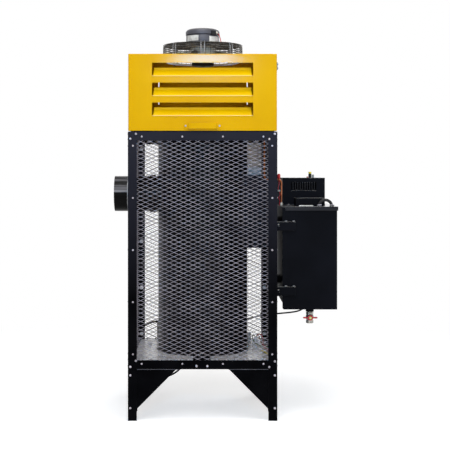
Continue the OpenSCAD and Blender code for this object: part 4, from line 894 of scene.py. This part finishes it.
sideWire = [(302, -134, 975), (308, -133, 974), (316, -132, 971), (318, -132, 950),
    (314, -134, 930), (320, -133, 915), (322, -132, 903), (316, -134, 893), (321, -133, 880),
    (319, -132, 866), (320, -132, 858.6)]
makeTube("sideWire", [smoothPath(sideWire)], 1.3, "lever_red")
makePiece("wireJoint", [boxPart((312, -138, 918), (323, -129, 925)),
    boxPart((314, -139, 920), (321, -137, 923))], "knob_grey", edge=0.6)
makePiece("hoodLatch", [boxPart((299, -292, 1409), (301.6, -276, 1441))] + [
    rodPart((301.6, -284, z), (304.6, -284, z), 4.5, 14) for z in (1417, 1433)], "pump_metal",
    "hood")
print("tank fittings done")

# ---- tray fittings: ridged gland, thermostat, dome and their wires
ridges = [(0, 243), (9, 243)]
for k in range(9):
    ridges += [(9, 246 + 4.4 * k), (8, 247.4 + 4.4 * k), (9, 248.8 + 4.4 * k)]
ridges += [(9, 287), (7.6, 289), (0, 289)]
makePiece("conduitGland", lathePart(ridges, (204, 175, 0), steps=32), "plate_silver", edge=0)
makePiece("thermostat", [boxPart((215, 92, 243), (247, 116, 269)),
    rodPart((231, 104, 269), (231, 104, 279), 8, 24), rodPart((231, 104, 279), (231, 104, 281), 3,
    16), boxPart((210, 98, 243), (252, 110, 245))], "zinc_painted_light", stands=["tray_fittings"], edge=0.6)
dome = lathePart([(0, 243), (11, 243), (11, 244.2), (9, 244.4), (9, 251)]
    + [(9 * cos(a * pi / 16), 251 + 9 * sin(a * pi / 16)) for a in range(1, 8)] + [(0, 260)],
    (-233, 114, 0), steps=32)
makePiece("trayDome", dome, "zinc_painted_light", edge=0)
trayWires = {
    "wireBlue": ("board_green", [(225, 104, 281), (222, 106, 288), (216, 100, 284), (222, 84, 262),
        (244, 66, 248), (274, 46, 245.6), (279, 40, 246)]),
    "wireRed": ("lever_red", [(237, 104, 281), (244, 104, 290), (256, 100, 287), (262, 98, 270),
        (262, 70, 252), (270, 10, 245.4), (276, -34, 245.4), (279, -40, 248)]),
    "wireBrown": ("copper", [(234, 108, 281), (240, 118, 286), (250, 116, 272), (256, 90, 250),
        (272, 60, 245.4), (279, 52, 246)]),
    "wireEarth": ("button_yellow", [(246, -105, 249), (252, -110, 252), (262, -128, 246.6),
        (272, -142, 245.4), (279, -146, 248)]),
}
wireRadius = 2.2
for name, (finish, points) in trayWires.items():
    makeTube(name, [smoothPath(points)], wireRadius, finish)
makePiece("earthStrip", [boxPart((238, -118, 243), (250, -92, 247)),
    rodPart((244, -105, 247), (244, -105, 251), 4, 6), boxPart((241, -150, 243), (247, -140, 254))],
    "nickel")
print("tray done")

# ---- flue: the stub outside, its bead, and the dark pipe inside
flue = {"radius": 75, "z": 907, "out": -375, "wall": -303, "end": -176, "sheet": 1.5}
stubLong, neckLong = flue["wall"] - flue["out"], flue["end"] - flue["wall"]
wall = -flue["sheet"]


def flueLathe(profile, start):
    # each point is its distance outside the flue's radius and its way along from the start
    return lathePart([(flue["radius"] + out, along) for out, along in profile],
        (start, 0, flue["z"]), "X", 96)


stubShape = [(wall, 0), (0, 0), (0, stubLong), (wall, stubLong), (wall, 0)]
beadShape = [(0, 55.4), (1.4, 56), (1.4, 58.6), (0, 59.2)]
neckShape = [(wall, 0), (0, 0), (0, 11), (10, 11), (10, 14), (0, 14), (0, neckLong - 48),
    (6, neckLong - 48), (6, neckLong - 26), (0, neckLong - 26), (0, neckLong), (wall, neckLong),
    (wall, 0)]
makePiece("flueStub", flueLathe(stubShape, flue["out"]), "flue_stub", stands=["flue_pipe"], edge=0)
makePiece("flueBead", flueLathe(beadShape, flue["out"]), "pump_metal", edge=0)
makePiece("flueNeck", flueLathe(neckShape, flue["wall"]), "flue_dark", edge=0)

# ---- the frame's own pieces that keep their shape take a finish
keptFinishes = {
    "frame_black": ["post_near_left", "post_near_right", "post_far_left", "post_far_right",
        "top_frame", "bottom_frame", "gussets_near", "gussets_far", "front_panel", "neck_box",
        "flue_plate", "hood_hinges", "frame_hinges", "coil_hook", "foot_brackets"],
    "chamber_dark": ["chamber_shell", "chamber_lid"],
    "cast_iron": ["burner_pan", "flame_ring"],
    "zinc_painted_light": ["base_tray"],
    "galvanised": ["strainer"],
    "pump_metal": ["oil_pump"],
    "rubber_black": ["hood_seal"],
    "cover_black": ["tank_cover"],
    "tank_black": ["tank_shell", "filler_hatch", "tank_brackets", "control_base", "control_box"],
    "black_plastic": ["panel_fittings"],
    "board_green": ["circuit_board"],
    "button_yellow": ["reset_button"],
    "button_red": ["stop_button"],
    "knob_grey": ["mode_knob"],
}
for finish, nodes in keptFinishes.items():
    for node in nodes:
        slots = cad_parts[node].material_slots
        if slots:
            for slot in slots:
                slot.material = finishes[finish]
        else:
            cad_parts[node].data.materials.append(finishes[finish])

# ---- stage: pale floor, white world, soft lamps
stageLook = {"floorRadius": 40, "floorColour": (0.8, 0.8, 0.8, 1), "floorGlow": 0.45,
    "worldLight": 0.42, "worldUnder": 0.1, "floorFade": (0.9, 2.6)}


def lookedAt(tree):
    # 1 for what the camera, metal or glass sees, 0 for the light that falls on the object
    rays = addNode(tree, "LightPath").outputs
    seen = rays["Is Camera Ray"]
    for kind in ("Is Glossy Ray", "Is Transmission Ray"):
        seen = mathOf(tree, seen, rays[kind], "MAXIMUM")
    return seen


floorMesh = bmesh.new()
bmesh.ops.create_circle(floorMesh, cap_ends=True, radius=stageLook["floorRadius"], segments=96)
floorData = meshOf(floorMesh, "floor")
floor = newObject("floor", floorData)
floorPaint = bpy.data.materials.new("floorPaint")
floorPaint.use_nodes = True
floorTree = floorPaint.node_tree
floorShader = floorTree.nodes["Principled BSDF"]
feedNode(floorTree, floorShader, {"Base Color": stageLook["floorColour"], "Roughness": 0.9,
    "Specular IOR Level": 0.0})
whiteTint = (1, 1, 1, 1)
glow = addNode(floorTree, "Emission", {"Color": whiteTint, "Strength": stageLook["floorGlow"]})
lit = addNode(floorTree, "AddShader", {0: floorShader.outputs[0], 1: glow.outputs[0]})
white = addNode(floorTree, "Emission", {"Color": whiteTint, "Strength": 1.0})
spot = addNode(floorTree, "TexCoord").outputs["Object"]
reach = addNode(floorTree, "VectorMath", {0: spot}, operation="LENGTH").outputs["Value"]
fade = ranged(floorTree, reach, *stageLook["floorFade"])
spread = addNode(floorTree, "MixShader", {0: fade, 1: lit.outputs[0], 2: white.outputs[0]})
shown = addNode(floorTree, "MixShader", {0: lookedAt(floorTree), 1: floorShader.outputs[0],
    2: spread.outputs[0]})
floorTree.links.new(shown.outputs[0], floorTree.nodes["Material Output"].inputs["Surface"])
floorData.materials.append(floorPaint)

world = bpy.data.worlds.new("world")
scene.world = world
world.use_nodes = True
worldTree = world.node_tree
skyward = heightOf(worldTree, addNode(worldTree, "TexCoord").outputs["Generated"])
level = ranged(worldTree, skyward, -0.6, 0.7, stageLook["worldUnder"], stageLook["worldLight"])
both = addNode(worldTree, "Mix", {0: lookedAt(worldTree), 2: level, 3: 1.0}, data_type="FLOAT")
feedNode(worldTree, worldTree.nodes["Background"], {"Color": whiteTint,
    "Strength": both.outputs[0]})

lamps = {"keyLamp": ((-500, -3500, 3300), 2.2, 2.2, 40), "fillLamp": ((2600, -3000, 2200), 2.4, 2.4,
    24), "topLamp": ((0, -1500, 4200), 2.4, 2.4, 70), "backLamp": ((1200, 3600, 2600), 2.4, 2.4,
    50), "bandLamp": ((15, -4900, 1960), 0.6, 0.1, 33), "frontLamp": ((15, -4700, 750), 0.6, 0.9,
    9)}
lampTints = {"bandLamp": (0.17, 0.54, 1.0)}
lampAim = (60, 0, 800)
for name, (place, wide, high, power) in lamps.items():
    lamp = newObject(name, bpy.data.lights.new(name, "AREA"))
    setAll(lamp.data, shape="ELLIPSE", size=wide, size_y=high, energy=power,
        color=lampTints.get(name, (1, 1, 1)))
    lamp.location = inMetres(place)
    aim = Vector(inMetres(lampAim)) - lamp.location
    lamp.rotation_mode = "QUATERNION"
    lamp.rotation_quaternion = aim.to_track_quat("-Z", "Y")

scene.view_settings.view_transform = "Standard"
print("scene done")
